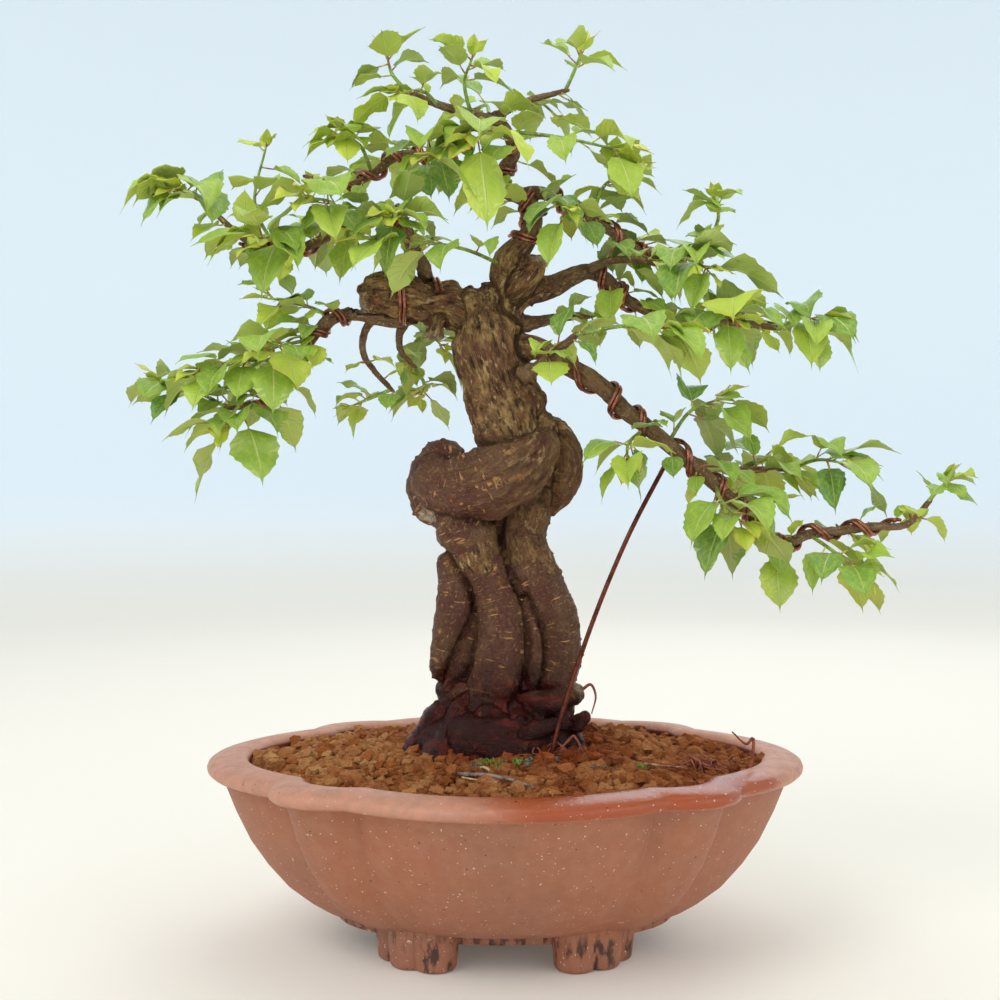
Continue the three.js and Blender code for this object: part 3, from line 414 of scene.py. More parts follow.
def new_material(name, **constants):
    """An empty material: its node tree, its Principled shader and its Object coordinates."""
    material = bpy.data.materials.new(name)
    material.use_nodes = True
    tree = material.node_tree
    shader = tree.nodes["Principled BSDF"]
    for socket, value in constants.items():
        shader.inputs[socket.replace("_", " ")].default_value = value
    return material, tree, shader, add_node(tree, "TexCoord", output="Object")


def speckle(tree, place, size, low, high, detail=3.0, shape=(1, 1, 1)):
    """Cloudy patches of a size in millimetres, cut between two levels into a mask from 0 to 1."""
    scaled = add_node(tree, "Mapping", {"Vector": place, "Scale": shape})
    cloud = add_node(tree, "TexNoise", {
        "Vector": scaled, "Scale": per_metre(size), "Detail": detail, "Roughness": 0.6})
    return add_node(tree, "MapRange", {0: cloud, 1: low, 2: high}, **soft)


def coat(tree, under, over, mask, strength=1.0):
    """A coat of one colour over another, laid through a mask and thinned to a strength."""
    thinned = add_node(tree, "Math", {0: mask, 1: strength}, **times)
    return add_node(tree, "Mix", {0: thinned, 6: under, 7: over}, 2, data_type="RGBA")


def coats(tree, under, place, layers):
    """Coats laid one over another, each as its colour, its strength and its own speckle."""
    for over, strength, *pattern in layers:
        under = coat(tree, under, over, speckle(tree, place, *pattern), strength)
    return under


def finish_skin(tree, shader, base_colour, height, depth):
    """Joins a colour to the shader, and raises the surface by a depth in millimetres."""
    tree.links.new(base_colour, shader.inputs["Base Color"])
    raised = add_node(tree, "Bump", {"Height": height, "Distance": depth / 1000, "Strength": 1.0})
    tree.links.new(raised, shader.inputs["Normal"])


def unglazed_stoneware(look):
    """Unglazed stoneware, fired red-brown in oxidation and polished smooth: matt with a faint sheen.
    Pale grog and dark iron show as specks, watering has left grime low down and a wet gloss."""
    material, tree, shader, place = new_material("unglazed_stoneware", IOR=1.5)
    along, deep, up = [add_node(tree, "SeparateXYZ", {0: place}, axis) for axis in "XYZ"]
    body = coats(tree, look.body_colour, place, [(look.flushed_colour, 1, 60, 0.3, 0.7)])
    mottle = speckle(tree, place, 7, 0.35, 0.7, 6)
    body = coat(tree, body, look.dusty_colour, mottle, 0.35)
    # The rim is painted paler than the body: painted light, standing for the light that falls on its top
    # from above.
    rim_line = (pot_height - 9) / 1000
    on_rim = add_node(tree, "MapRange", {0: up, 1: rim_line, 2: rim_line + 0.002}, **soft)
    body = coat(tree, body, coat(tree, look.lit_rim_colour, look.dusty_colour, mottle), on_rim)
    # The inner wall, which faces the middle of the bowl, is coloured darker.
    level_middle = Vector((pot_middle.x, pot_middle.y, 0))
    outward = add_node(tree, "VectorMath", {0: place, 1: level_middle}, **minus)
    outward = add_node(tree, "VectorMath", {0: outward}, operation="NORMALIZE")
    normal = add_node(tree, "NewGeometry", output="Normal")
    facing = add_node(tree, "VectorMath", {0: outward, 1: normal}, "Value", operation="DOT_PRODUCT")
    inside = add_node(tree, "MapRange", {0: facing, 1: -0.35, 2: -0.7}, **soft)
    top_line = pot_height / 1000
    for start, end in ((0.05, 0.06), (top_line - 0.001, top_line - 0.004)):
        between = add_node(tree, "MapRange", {0: up, 1: start, 2: end}, **soft)
        inside = add_node(tree, "Math", {0: inside, 1: between}, **times)
    body = coat(tree, body, look.inner_colour, inside)
    # The rim is wet at the front right.
    wet_right = add_node(tree, "MapRange", {0: along, 1: -0.07, 2: 0.06}, **soft)
    wet_front = add_node(tree, "MapRange", {0: deep, 1: -0.04, 2: -0.08}, **soft)
    wet = add_node(tree, "Math", {0: wet_right, 1: wet_front}, **plus)
    wet = add_node(tree, "MapRange", {0: wet, 1: 1.0, 2: 1.5}, **soft)
    for mask in (on_rim, speckle(tree, place, 16, 0.22, 0.4)):
        wet = add_node(tree, "Math", {0: wet, 1: mask}, **times)
    body = coat(tree, body, look.wet_colour, wet)
    body = coats(tree, body, place, [
        (look.grog_colour, 0.8, 1.2, 0.79, 0.82, 0), (look.iron_colour, 0.8, 2.6, 0.71, 0.75, 2)])
    low_down = add_node(tree, "MapRange", {0: up, 1: 0.024, 2: 0.012}, **soft)
    for over, strength, *pattern in ((look.grime_colour, 0.85, 5, 0.5, 0.62, 6, (1, 1, 0.4)),
                                     (look.grog_colour, 1, 4, 0.66, 0.7, 5)):
        stain = add_node(tree, "Math", {0: speckle(tree, place, *pattern), 1: low_down}, **times)
        body = coat(tree, body, over, stain, strength)
    rough = add_node(tree, "MapRange", {0: on_rim, 3: 0.62, 4: 0.44}, **soft)
    for mask, change in ((mottle, 0.12), (wet, -0.4)):
        rough = add_node(tree, "Math", {0: mask, 1: change, 2: rough}, operation="MULTIPLY_ADD")
    tree.links.new(rough, shader.inputs["Roughness"])
    skin = speckle(tree, place, 0.9, 0.2, 0.8, 5)
    dents = speckle(tree, place, 14, 0.3, 0.8)
    relief = add_node(tree, "Math", {0: skin, 1: 0.25, 2: dents}, operation="MULTIPLY_ADD")
    finish_skin(tree, shader, body, relief, 0.35)
    return material


def baked_clay_granules(look):
    """Low-fired volcanic clay granules: dry ones pale ochre and dusty, wet ones dark orange-brown.
    Each keeps one tone from its own attribute, over a crumbly matt skin."""
    material, tree, shader, place = new_material(
        "baked_clay_granules", Roughness=0.95, IOR=1.45, Specular_IOR_Level=0.25)
    tone = add_node(tree, "Attribute", output="Fac", attribute_name="tone")
    along = add_node(tree, "SeparateXYZ", {0: place}, "X")
    span = add_node(tree, "MapRange", {0: along, 1: pot_middle.x - 0.11, 2: pot_middle.x + 0.03}, **soft)
    patches = add_node(tree, "Math", {0: span, 1: speckle(tree, place, 30, 0.35, 0.65)}, **plus)
    trunk_foot = (pot_middle.x, 0, soil_level / 1000)
    reach = add_node(tree, "VectorMath", {0: place, 1: trunk_foot}, "Value", operation="DISTANCE")
    near = add_node(tree, "MapRange", {0: reach, 1: 0.062, 2: 0.04, 4: 0.5}, **soft)
    damp = add_node(tree, "Math", {0: patches, 1: 0.45, 2: near}, operation="MULTIPLY_ADD")
    dry = coat(tree, look.dry_colour, look.pale_colour, tone)
    wet = coat(tree, look.wet_colour, look.damp_colour, tone)
    crumbs = speckle(tree, place, 1.0, 0.3, 0.7, 4)
    hollows = add_node(tree, "Math", {0: crumbs, 1: 0.35}, **times)
    earth = add_node(tree, "Mix", {
        0: hollows, 6: coat(tree, dry, wet, damp), 7: look.shade_colour,
    }, 2, data_type="RGBA", blend_type="MULTIPLY")
    finish_skin(tree, shader, earth, crumbs, 0.9)
    return material


def soil_bed(look):
    """The packed soil below the loose granules: the same clay, with painted shade in its gaps."""
    material, tree, shader, place = new_material("packed_clay_soil", Roughness=1.0, IOR=1.45)
    grains = add_node(tree, "TexVoronoi", {"Vector": place, "Scale": per_metre(4)}, "Distance")
    gaps = add_node(tree, "MapRange", {0: grains, 1: 0.25, 2: 0.7}, **soft)
    crowns = add_node(tree, "Math", {0: 1.0, 1: gaps}, **minus)
    # The gaps between grains are painted dark: painted shade.
    finish_skin(tree, shader, coat(tree, look.wet_colour, look.gap_shade_colour, gaps), crowns, 1.5)
    return material


def fruit_tree_bark(look):
    """Bark of an old cherry-like fruit tree. Young stems are smooth and purple-brown with tan
    breathing slits lying across them; old wood has split into flaky tan and grey plates; by the
    soil it stays wet and dark. The pattern follows each stem by the bark_place attribute."""
    material, tree, shader, place = new_material("fruit_tree_bark", IOR=1.45, Specular_IOR_Level=0.32)
    bark = add_node(tree, "Attribute", output="Vector", attribute_name="bark_place")
    old, thin, wound = [
        add_node(tree, "Attribute", output="Fac", attribute_name=name) for name in ("old", "thin", "wound")]
    height = add_node(tree, "SeparateXYZ", {0: place}, "Z")
    # Smooth stems.
    smooth = coats(tree, look.stem_colour, place, [(look.purple_colour, 1, 16, 0.35, 0.65, 5)])
    streak = speckle(tree, bark, 7, 0.45, 0.75, 6, (1, 1, 0.6))
    smooth = coat(tree, smooth, look.grey_colour, streak, 0.45)
    smooth = coats(tree, smooth, bark, [
        (look.crack_colour, 0.4, 1.5, 0.46, 0.62, 4, (1, 1, 0.8)),
        (look.flake_colour, 0.55, 1.7, 0.56, 0.68, 5)])
    slits = add_node(tree, "Math", {
        0: speckle(tree, bark, 8, 0.595, 0.645, 3, (1, 1, 5)),
        1: speckle(tree, bark, 18, 0.36, 0.5)}, **times)
    smooth = coat(tree, smooth, look.slit_colour, slits)
    smooth = coats(tree, smooth, bark, [(look.rust_colour, 0.85, 4.5, 0.69, 0.73, 2, (1, 1, 2.2))])
    # Old plates, purpler on the coil.
    plates = speckle(tree, bark, 3.4, 0.4, 0.6, 8, (1, 1, 0.5))
    flaky = coat(tree, look.plate_colour, look.flake_colour, plates)
    coil_top = (soil_level + 158) / 1000
    on_coil = add_node(tree, "MapRange", {
        0: height, 1: coil_top + 0.012, 2: coil_top - 0.006, 4: 0.45}, **soft)
    patch = add_node(tree, "Math", {0: speckle(tree, bark, 15, 0.42, 0.64, 4), 1: 0.75}, **times)
    purple = add_node(tree, "Math", {0: patch, 1: on_coil}, operation="MAXIMUM")
    flaky = coat(tree, flaky, look.purple_colour, purple)
    splits = speckle(tree, bark, 2.2, 0.52, 0.66, 9, (1, 1, 0.28))
    flaky = coat(tree, flaky, look.crack_colour, splits, 0.85)
    flaky = coats(tree, flaky, bark, [
        (look.flake_colour, 0.45, 1.1, 0.5, 0.66, 6, (1, 1, 0.4)),
        (look.peel_colour, 0.8, 2.6, 0.57, 0.65, 5, (1, 1, 0.55)),
        (look.rust_colour, 0.85, 3.6, 0.64, 0.69, 4, (1, 1, 0.8))])
    twig = coats(tree, look.branch_colour, bark, [
        (look.plate_colour, 1, 3, 0.4, 0.65, 5, (1, 1, 0.4)),
        (look.peel_colour, 1, 1.6, 0.62, 0.68, 2, (1, 1, 2))])
    skin = coat(tree, coat(tree, smooth, flaky, old), twig, thin)
    scar = coats(tree, look.wound_colour, place, [(look.grey_colour, 1, 3, 0.4, 0.65)])
    skin = coat(tree, skin, scar, wound)
    # Wet bark by the soil, with a ragged upper edge.
    ragged = add_node(tree, "Math", {
        0: speckle(tree, place, 20, 0.3, 0.7), 1: -0.018, 2: height}, operation="MULTIPLY_ADD")
    soil_line = soil_level / 1000
    wet = add_node(tree, "MapRange", {0: ragged, 1: soil_line + 0.044, 2: soil_line + 0.014}, **soft)
    skin = coat(tree, skin, coat(tree, look.wet_colour, look.soaked_colour, streak), wet, 0.95)
    dry_gloss = add_node(tree, "MapRange", {0: old, 3: 0.55, 4: 0.8}, **soft)
    rough = add_node(tree, "Math", {0: wet, 1: -0.33, 2: dry_gloss}, operation="MULTIPLY_ADD")
    tree.links.new(rough, shader.inputs["Roughness"])
    cracked = add_node(tree, "Math", {0: plates, 1: splits}, **minus)
    relief = add_node(tree, "Math", {0: cracked, 1: old}, **times)
    fine = speckle(tree, bark, 0.9, 0.3, 0.7, 4, (1, 1, 0.6))
    relief = add_node(tree, "Math", {0: relief, 1: 0.9}, **times)
    for mask, strength in ((fine, 0.45), (slits, 0.7)):
        relief = add_node(tree, "Math", {0: mask, 1: strength, 2: relief}, operation="MULTIPLY_ADD")
    finish_skin(tree, shader, skin, relief, 1.1)
    return material


def leaf_veins(tree, vein_start, vein_strength, rib_edges):
    """How far each place is from a leaf's midrib, and a mask of its midrib and side veins."""
    chart = add_node(tree, "UVMap", uv_map="leaf")
    across, along = [add_node(tree, "SeparateXYZ", {0: chart}, axis) for axis in "XY"]
    aside = add_node(tree, "Math", {0: across, 1: 0.5}, **minus)
    aside = add_node(tree, "Math", {0: aside}, operation="ABSOLUTE")
    slant = add_node(tree, "Math", {0: aside, 1: -0.55, 2: along}, operation="MULTIPLY_ADD")
    wave = add_node(tree, "Math", {0: slant, 1: 58.0}, **times)
    wave = add_node(tree, "Math", {0: wave}, operation="SINE")
    veins = add_node(tree, "MapRange", {0: wave, 1: vein_start, 2: 1.0, 4: vein_strength}, **soft)
    rib = add_node(tree, "MapRange", {0: aside, 1: rib_edges[0], 2: rib_edges[1]}, **soft)
    return chart, aside, veins, rib


def leaf_top(look):
    """The upper face of a leaf: waxy, blue-green when ripe and yellow-green when young, with a
    pale midrib and side veins drawn on the leaf's own UV map."""
    material, tree, shader, _ = new_material(
        "leaf_upper_face", Roughness=0.42, IOR=1.45, Subsurface_Weight=0.12,
        Subsurface_Radius=(0.6, 1.0, 0.25), Subsurface_Scale=0.0015)
    tone = add_node(tree, "Attribute", output="Fac", attribute_name="tone")
    blush = add_node(tree, "Attribute", output="Fac", attribute_name="blush")
    chart, aside, veins, rib = leaf_veins(tree, 0.8, 0.45, (0.035, 0.015))
    green = look.ripe_colour
    for start, older in ((0, look.middle_colour), (0.5, look.young_colour)):
        ripening = add_node(tree, "MapRange", {0: tone, 1: start, 2: start + 0.5}, **soft)
        green = coat(tree, green, older, ripening)
    inner = add_node(tree, "MapRange", {0: aside, 1: 0.48, 2: 0.2}, **soft)
    veins = add_node(tree, "Math", {0: veins, 1: inner}, **times)
    lines = add_node(tree, "Math", {0: veins, 1: rib}, operation="MAXIMUM")
    cloud = add_node(tree, "TexNoise", {"Vector": chart, "Scale": 7.0, "Detail": 4.0})
    mottle = add_node(tree, "MapRange", {0: cloud, 1: 0.4, 2: 0.7, 4: 0.35}, **soft)
    green = coat(tree, green, look.young_colour, mottle)
    green = coat(tree, green, look.vein_colour, lines, 0.6)
    edge = add_node(tree, "MapRange", {0: aside, 1: 0.36, 2: 0.5}, **soft)
    flushed = add_node(tree, "Math", {0: edge, 1: blush}, **times)
    green = coat(tree, green, look.blush_colour, flushed)
    sunk = add_node(tree, "Math", {0: 1.0, 1: lines}, **minus)
    finish_skin(tree, shader, green, sunk, 0.35)
    return material


def leaf_under(look):
    """The lower face of a leaf: matt and paler, with the veins standing proud."""
    material, tree, shader, _ = new_material("leaf_lower_face", Roughness=0.65, IOR=1.4)
    tone = add_node(tree, "Attribute", output="Fac", attribute_name="tone")
    _, _, veins, rib = leaf_veins(tree, 0.75, 0.5, (0.05, 0.02))
    lines = add_node(tree, "Math", {0: veins, 1: rib}, operation="MAXIMUM")
    green = coat(tree, look.under_colour, look.young_colour, tone)
    finish_skin(tree, shader, coat(tree, green, look.vein_colour, lines, 0.6), lines, 0.4)
    return material


def green_twig_bark(look):
    """This year's growth: thin shiny bark, olive green with fine pale dots."""
    material, tree, shader, place = new_material("green_twig_bark", Roughness=0.45, IOR=1.45)
    cloud = speckle(tree, place, 6, 0.35, 0.65)
    green = coat(tree, look.twig_colour, look.middle_colour, cloud)
    green = coats(tree, green, place, [(look.vein_colour, 1, 1.2, 0.66, 0.7, 1)])
    finish_skin(tree, shader, green, cloud, 0.2)
    return material


def anodised_aluminium(name, colour, dull_colour):
    """Annealed aluminium wire, anodised copper-brown: a soft metal gloss, dulled by weather."""
    material, tree, shader, place = new_material(name, Metallic=0.85)
    worn = speckle(tree, place, 5, 0.4, 0.7, 5)
    rough = add_node(tree, "MapRange", {0: worn, 3: 0.26, 4: 0.42}, **soft)
    tree.links.new(rough, shader.inputs["Roughness"])
    drawn = speckle(tree, place, 0.8, 0.3, 0.7, 3)
    finish_skin(tree, shader, coat(tree, colour, dull_colour, worn), drawn, 0.05)
    return material


def plain_matter(name, colours, size, roughness, cut=(0.38, 0.64, 5), depth=0.3, ior=1.45):
    """A natural or moulded surface of two colours, in patches of a size in millimetres."""
    material, tree, shader, place = new_material(name, Roughness=roughness, IOR=ior)
    patches = speckle(tree, place, size, *cut)
    finish_skin(tree, shader, coat(tree, *colours, patches), patches, depth)
    return material


def leaf_stalk_skin(look):
    """Leaf stalks: thin, smooth and flushed red in patches."""
    colours = (look.young_colour, look.stalk_colour)
    return plain_matter("leaf_stalk_skin", colours, 5, 0.45, cut=(0.35, 0.6), depth=0.1)


def moulded_mesh_plastic():
    """Moulded black polyethylene mesh, matt, with clay dust caught in it."""
    colours = (linear("#1d1f1e"), linear("#5b4030"))
    return plain_matter("moulded_polyethylene_mesh", colours, 3, 0.6, cut=(0.45, 0.7, 5), depth=0.2, ior=1.5)


# ---- What a user may change ----


def colour(name, description, hex_colour):
    """A colour setting whose default is written as sRGB hex."""
    return bpy.props.FloatVectorProperty(
        name=name, description=description, subtype="COLOR", size=4, min=0, max=1,
        default=linear(hex_colour))


def length(name, description, millimetres):
    """A size setting in millimetres."""
    return bpy.props.FloatProperty(
        name=name, description=description, default=millimetres, min=0.01, soft_max=50)


class BonsaiPotSettings(bpy.types.PropertyGroup):
    """Sizes and colours of the clay bowl."""

    wall: length("Wall", "Thickness of the bowl's wall in mm", 8)
    foot_height: length("Foot height", "Height of the four feet in mm", 12)
    base_ring: length("Base ring", "Height of the ring above the feet in mm", 6)
    foot_lobe: length("Foot lobe", "Radius of each lobe of a foot in mm", 12)
    drain_radius: length("Drain radius", "Radius of each drain hole in mm", 10)
    body_colour: colour("Body", "Fired clay", "#9c664d")
    flushed_colour: colour("Flush", "Clay that fired warmer", "#a86647")
    dusty_colour: colour("Dust", "Dry clay dust", "#b9846c")
    # Painted highlight: the rim's colour is painted paler, as if lit from above.
    lit_rim_colour: colour("Rim", "The rim, rubbed paler", "#cb8c70")
    # The inner wall is coloured darker than the body.
    inner_colour: colour("Inside", "The inner wall, stained by water", "#6b3421")
    wet_colour: colour("Wet", "Wet clay", "#a44a20")
    grog_colour: colour("Grog", "Pale grains and lime", "#e2cdb8")
    iron_colour: colour("Iron", "Dark iron specks", "#3d2720")
    grime_colour: colour("Grime", "Grime low down", "#2d211c")


class BonsaiSoilSettings(bpy.types.PropertyGroup):
    """Sizes and colours of the granular soil and what lies on it."""

    spacing: length("Spacing", "Mean gap between granule centres in mm", 4.0)
    smallest: length("Smallest", "Least width of a granule in mm", 3.2)
    largest: length("Largest", "Greatest width of a granule in mm", 7.0)
    dry_colour: colour("Dry", "Dry granules", "#c87232")
    pale_colour: colour("Pale", "Dusty yellow granules", "#efbc7c")
    wet_colour: colour("Wet", "Wet granules", "#7a3a14")
    damp_colour: colour("Damp", "Damp granules", "#bf602a")
    shade_colour: colour("Shade", "Hollows of a granule", "#c28c6a")
    # Painted shade: the gaps between grains of the packed soil are painted dark.
    gap_shade_colour: colour("Gap", "Soil in the gaps", "#2e1a0f")
    moss_colour: colour("Moss", "Green moss", "#5c7a34")
    pebble_colour: colour("Pebble", "Dark lava pebbles", "#3f3a31")
    straw_colour: colour("Straw", "Dry straw", "#d9bd8c")
    root_colour: colour("Root", "Fine red roots", "#7d3b2a")


class BonsaiWoodSettings(bpy.types.PropertyGroup):
    """Relief and colours of the trunk, branches and their bark."""

    grid: length("Grid", "Size of the facets of the wood in mm", 1.25)
    swell: length("Swell", "Depth of the broad swellings in mm", 1.5)
    plate_depth: length("Plates", "Depth of the old bark's plates in mm", 1.3)
    ring_depth: length("Rings", "Depth of the rings round smooth stems in mm", 0.6)
    crease_depth: length("Creases", "Depth of the creases where stems meet in mm", 3.4)
    crease_width: length("Crease width", "Half the width of those creases in mm", 1.9)
    stem_colour: colour("Stem", "Smooth stem bark", "#6c4934")
    purple_colour: colour("Purple", "Purple tinge of smooth bark", "#63372d")
    grey_colour: colour("Grey", "Weathered bark", "#937355")
    slit_colour: colour("Slits", "Breathing slits", "#cc955e")
    plate_colour: colour("Plate", "Old bark plates", "#7d5a3c")
    flake_colour: colour("Flake", "Lighter flakes", "#b48f58")
    peel_colour: colour("Peel", "Freshly peeled bark", "#cfae7c")
    rust_colour: colour("Rust", "Orange under-bark", "#bd6329")
    crack_colour: colour("Crack", "Cracks", "#33221a")
    branch_colour: colour("Branch", "Thin branches", "#97795a")
    wound_colour: colour("Wound", "Healed cuts", "#c9b79a")
    wet_colour: colour("Wet", "Wet bark by the soil", "#300c08")
    soaked_colour: colour("Soaked", "Red wet bark", "#6b1a10")


class BonsaiLeafSettings(bpy.types.PropertyGroup):
    """Sizes and colours of the leaves and green twigs."""

    thickness: length("Thickness", "Thickness of a leaf in mm", 0.3)
    twig_radius: length("Twig radius", "Radius of a green twig in mm", 1.05)
    stalk_radius: length("Stalk radius", "Radius of a leaf stalk in mm", 0.42)
    width_share: bpy.props.FloatProperty(
        name="Leaf width", description="Width of a leaf as a share of its length",
        default=0.6, min=0.1, max=1)
    extra_leaves: bpy.props.IntProperty(
        name="Extra leaves", description="Leaves on a shoot beyond the model's own", default=3, min=0)
    tip_leaves: bpy.props.IntProperty(
        name="Tip leaves", description="Small young leaves at a shoot's tip", default=3, min=0)
    ripe_colour: colour("Ripe", "Oldest leaves", "#5f8a3c")
    middle_colour: colour("Middle", "Full-grown leaves", "#97b743")
    young_colour: colour("Young", "Young leaves", "#d0e04e")
    vein_colour: colour("Veins", "Midrib and side veins", "#d8e28c")
    blush_colour: colour("Blush", "Flushed edges", "#c98a52")
    under_colour: colour("Underside", "Lower face", "#b0c07a")
    twig_colour: colour("Twig", "Green twigs", "#6f7a3a")
    stalk_colour: colour("Stalk", "Leaf stalks", "#a45f42")


class BonsaiWireSettings(bpy.types.PropertyGroup):
    """Sizes and colours of the training wires."""

    strand_radius: length("Strand radius", "Radius of a strand in mm", 0.98)
    gap: length("Gap", "Gap between bark and wire in mm", 0.45)
    copper_colour: colour("Copper", "Copper-brown anodising", "#a96a54")
    dull_colour: colour("Dull", "Weathered anodising", "#6a4436")


class BonsaiStageSettings(bpy.types.PropertyGroup):
    """The floor, the light and the camera."""

    floor_colour: colour("Floor", "Pale floor", "#f4ede0")
    wall_colour: colour("Wall", "Pale backdrop", "#dbe6ee")
    sky_colour: colour("Sky", "Soft light from all round", "#fbf8f4")
    lens: bpy.props.FloatProperty(name="Lens", description="Focal length in mm", default=52.2, min=10)


# ---- Pot ----

# The lobed oval: long and end lobes with a small one between, met in cusps, in half lengths and
# half widths. Each is (start, end, how far it bulges, steps).
end_cusp = Vector((0.722, 0.597))
side_cusp = Vector((0.48, 0.807))
lobes = [
    (Vector((end_cusp.x, -end_cusp.y)), end_cusp, 0.278, 26),
    (end_cusp, side_cusp, 0.075, 12),
    (side_cusp, Vector((-side_cusp.x, side_cusp.y)), 0.193, 36),
    (Vector((-side_cusp.x, side_cusp.y)), Vector((-end_cusp.x, end_cusp.y)), 0.075, 12),
]
plain_radius = 0.985  # where the lobes fade, the oval is this share of the full size
ring_half_length, ring_half_width = 85, 52  # the base ring, and the feet below it
drain_place = 45  # from the middle to each drain hole


def lobe_point(start, end, bulge, share):
    """A point on the arc that leans out from start to end."""
    half = (end - start).length / 2
    radius = (half * half + bulge * bulge) / (2 * bulge)
    along = (end - start) / (2 * half)
    out = Vector((along.y, -along.x))
    swing = math.asin(half / radius) * (2 * share - 1)
    rise = radius * math.cos(swing) - radius + bulge
    return (start + end) / 2 + out * rise + along * radius * math.sin(swing)


def oval_outline():
    """The whole lobed oval, anticlockwise."""
    half = []
    for start, end, bulge, steps in lobes:
        half += [lobe_point(start, end, bulge, step / steps) for step in range(steps)]
    return half + [-point for point in half]


def lathe_bowl(mesh, levels):
    """Spins a profile once round, then draws each ring out to the lobed oval.
    A level is [half length, half width, height, how strong the lobes are there]."""
    outline = oval_outline()
    order = mesh.verts.layers.int.new("level")
    chain = []
    for number, level in enumerate(levels):
        corner = bmesh.ops.create_vert(mesh, co=(1.0, 0, level[2]))["vert"][0]
        corner[order] = number
        chain.append(corner)
    edges = [bmesh.ops.contextual_create(mesh, geom=pair)["edges"][0] for pair in zip(chain, chain[1:])]
    bmesh.ops.spin(
        mesh, geom=chain + edges, cent=(0, 0, 0), axis=(0, 0, 1), angle=math.tau,
        steps=len(outline), use_merge=True, use_duplicate=False)
    for corner in mesh.verts:
        turn = round(math.atan2(corner.co.y, corner.co.x) / math.tau * len(outline)) % len(outline)
        length_here, width_here, height, strength = levels[corner[order]]
        point = outline[turn]
        stretch = plain_radius / point.length * (1 - strength) + strength
        corner.co = (point.x * stretch * length_here, point.y * stretch * width_here, height)
    bmesh.ops.remove_doubles(mesh, verts=mesh.verts, dist=1e-3)
    bmesh.ops.recalc_face_normals(mesh, faces=mesh.faces)


def bowl_levels(look):
    """The bowl's profile, from the middle of its underside, up its outside, over the rolled rim
    and down its inside to the middle of its floor."""
    ring_top = look.foot_height + look.base_ring
    floor_top = ring_top + 6
    body = [(61, 65, 0), (54, 58, 0.022), (48, 51.5, 0.08), (38, 41, 0.2), (29, 31.5, 0.36), (21, 23, 0.54),
            (14.5, 15.5, 0.75), (10, 10, 0.93), (8.6, 8.2, 1)]
    body_top = pot_height - 10
    rim = [(5.4, 5.2, 8.8), (1.8, 1.8, 8.3), (0.3, 0.3, 6.9), (0, 0, 5.2), (0.7, 0.7, 3.4), (2.6, 2.6, 2.1),
           (6.5, 6.3, 1.0), (11.5, 11, 0.2), (15, 14.6, 0), (18, 17.9, 0.5), (19.8, 20.2, 1.8),
           (20.4, 21, 3.6), (20.2, 20.8, 7), (18.6, 18.4, 11)]
    outside = []
    for ends, sides, share in body:
        height = ring_top + share * (body_top - ring_top)
        outside.append([half_length - ends, half_width - sides, height, 0.6 + 0.85 * share ** 0.6])
    lip = [[half_length - ends, half_width - sides, pot_height - down, 1] for ends, sides, down in rim]
    inside = [[level[0] - look.wall, level[1] - look.wall, max(level[2], floor_top + 2), level[3]]
              for level in reversed(outside[2:-2])]
    groove, foot_top = 1.2, look.foot_height
    ring = [(-8, floor_top - 8), (-8, foot_top + 0.6), (-7.4, foot_top), (-0.9, foot_top),
            (0, foot_top + 0.9), (0.4, foot_top + 3), (0, ring_top - 1), (-groove, ring_top - 0.3)]
    base = [[ring_half_length + out, ring_half_width + out, height, 0.4] for out, height in ring]
    underside = [[0.01, 0.01, floor_top - 8, 0]]
    floor = [[half_length - 69, half_width - 73, floor_top, 0.35], [0.01, 0.01, floor_top, 0]]
    return underside + base + outside + lip + inside + floor


def round_column(mesh, place, radius, foot_radius, height, edge):
    """An upright tapered column with its lower edge rounded."""
    corners = bmesh.ops.create_cone(
        mesh, cap_ends=True, segments=28, radius1=foot_radius, radius2=radius, depth=height,
        matrix=Matrix.Translation(place + Vector((0, 0, height / 2))))["verts"]
    low = min(corner.co.z for corner in corners) + 1e-3
    lowest = [corner for corner in corners if corner.co.z < low]
    rim = [side for side in mesh.edges if side.verts[0] in lowest and side.verts[1] in lowest]
    bmesh.ops.bevel(mesh, geom=rim, offset=edge, segments=3, affect="EDGES", profile=0.5, material=-1)


def cut_or_join(piece, helper, operation):
    """Joins a helper mesh to a piece, or cuts it away, and removes the helper."""
    tool = bpy.data.objects.new("helper", bpy.data.meshes.new("helper"))
    helper.to_mesh(tool.data)
    helper.free()
    bpy.context.scene.collection.objects.link(tool)
    joint = piece.modifiers.new(operation, "BOOLEAN")
    joint.object = tool
    joint.operation = operation
    joint.solver = "EXACT"
    joint.use_self = True
    bpy.context.view_layer.update()
    result = bpy.data.meshes.new_from_object(piece.evaluated_get(bpy.context.evaluated_depsgraph_get()))
    piece.modifiers.clear()
    piece.data = result
    bpy.data.objects.remove(tool)


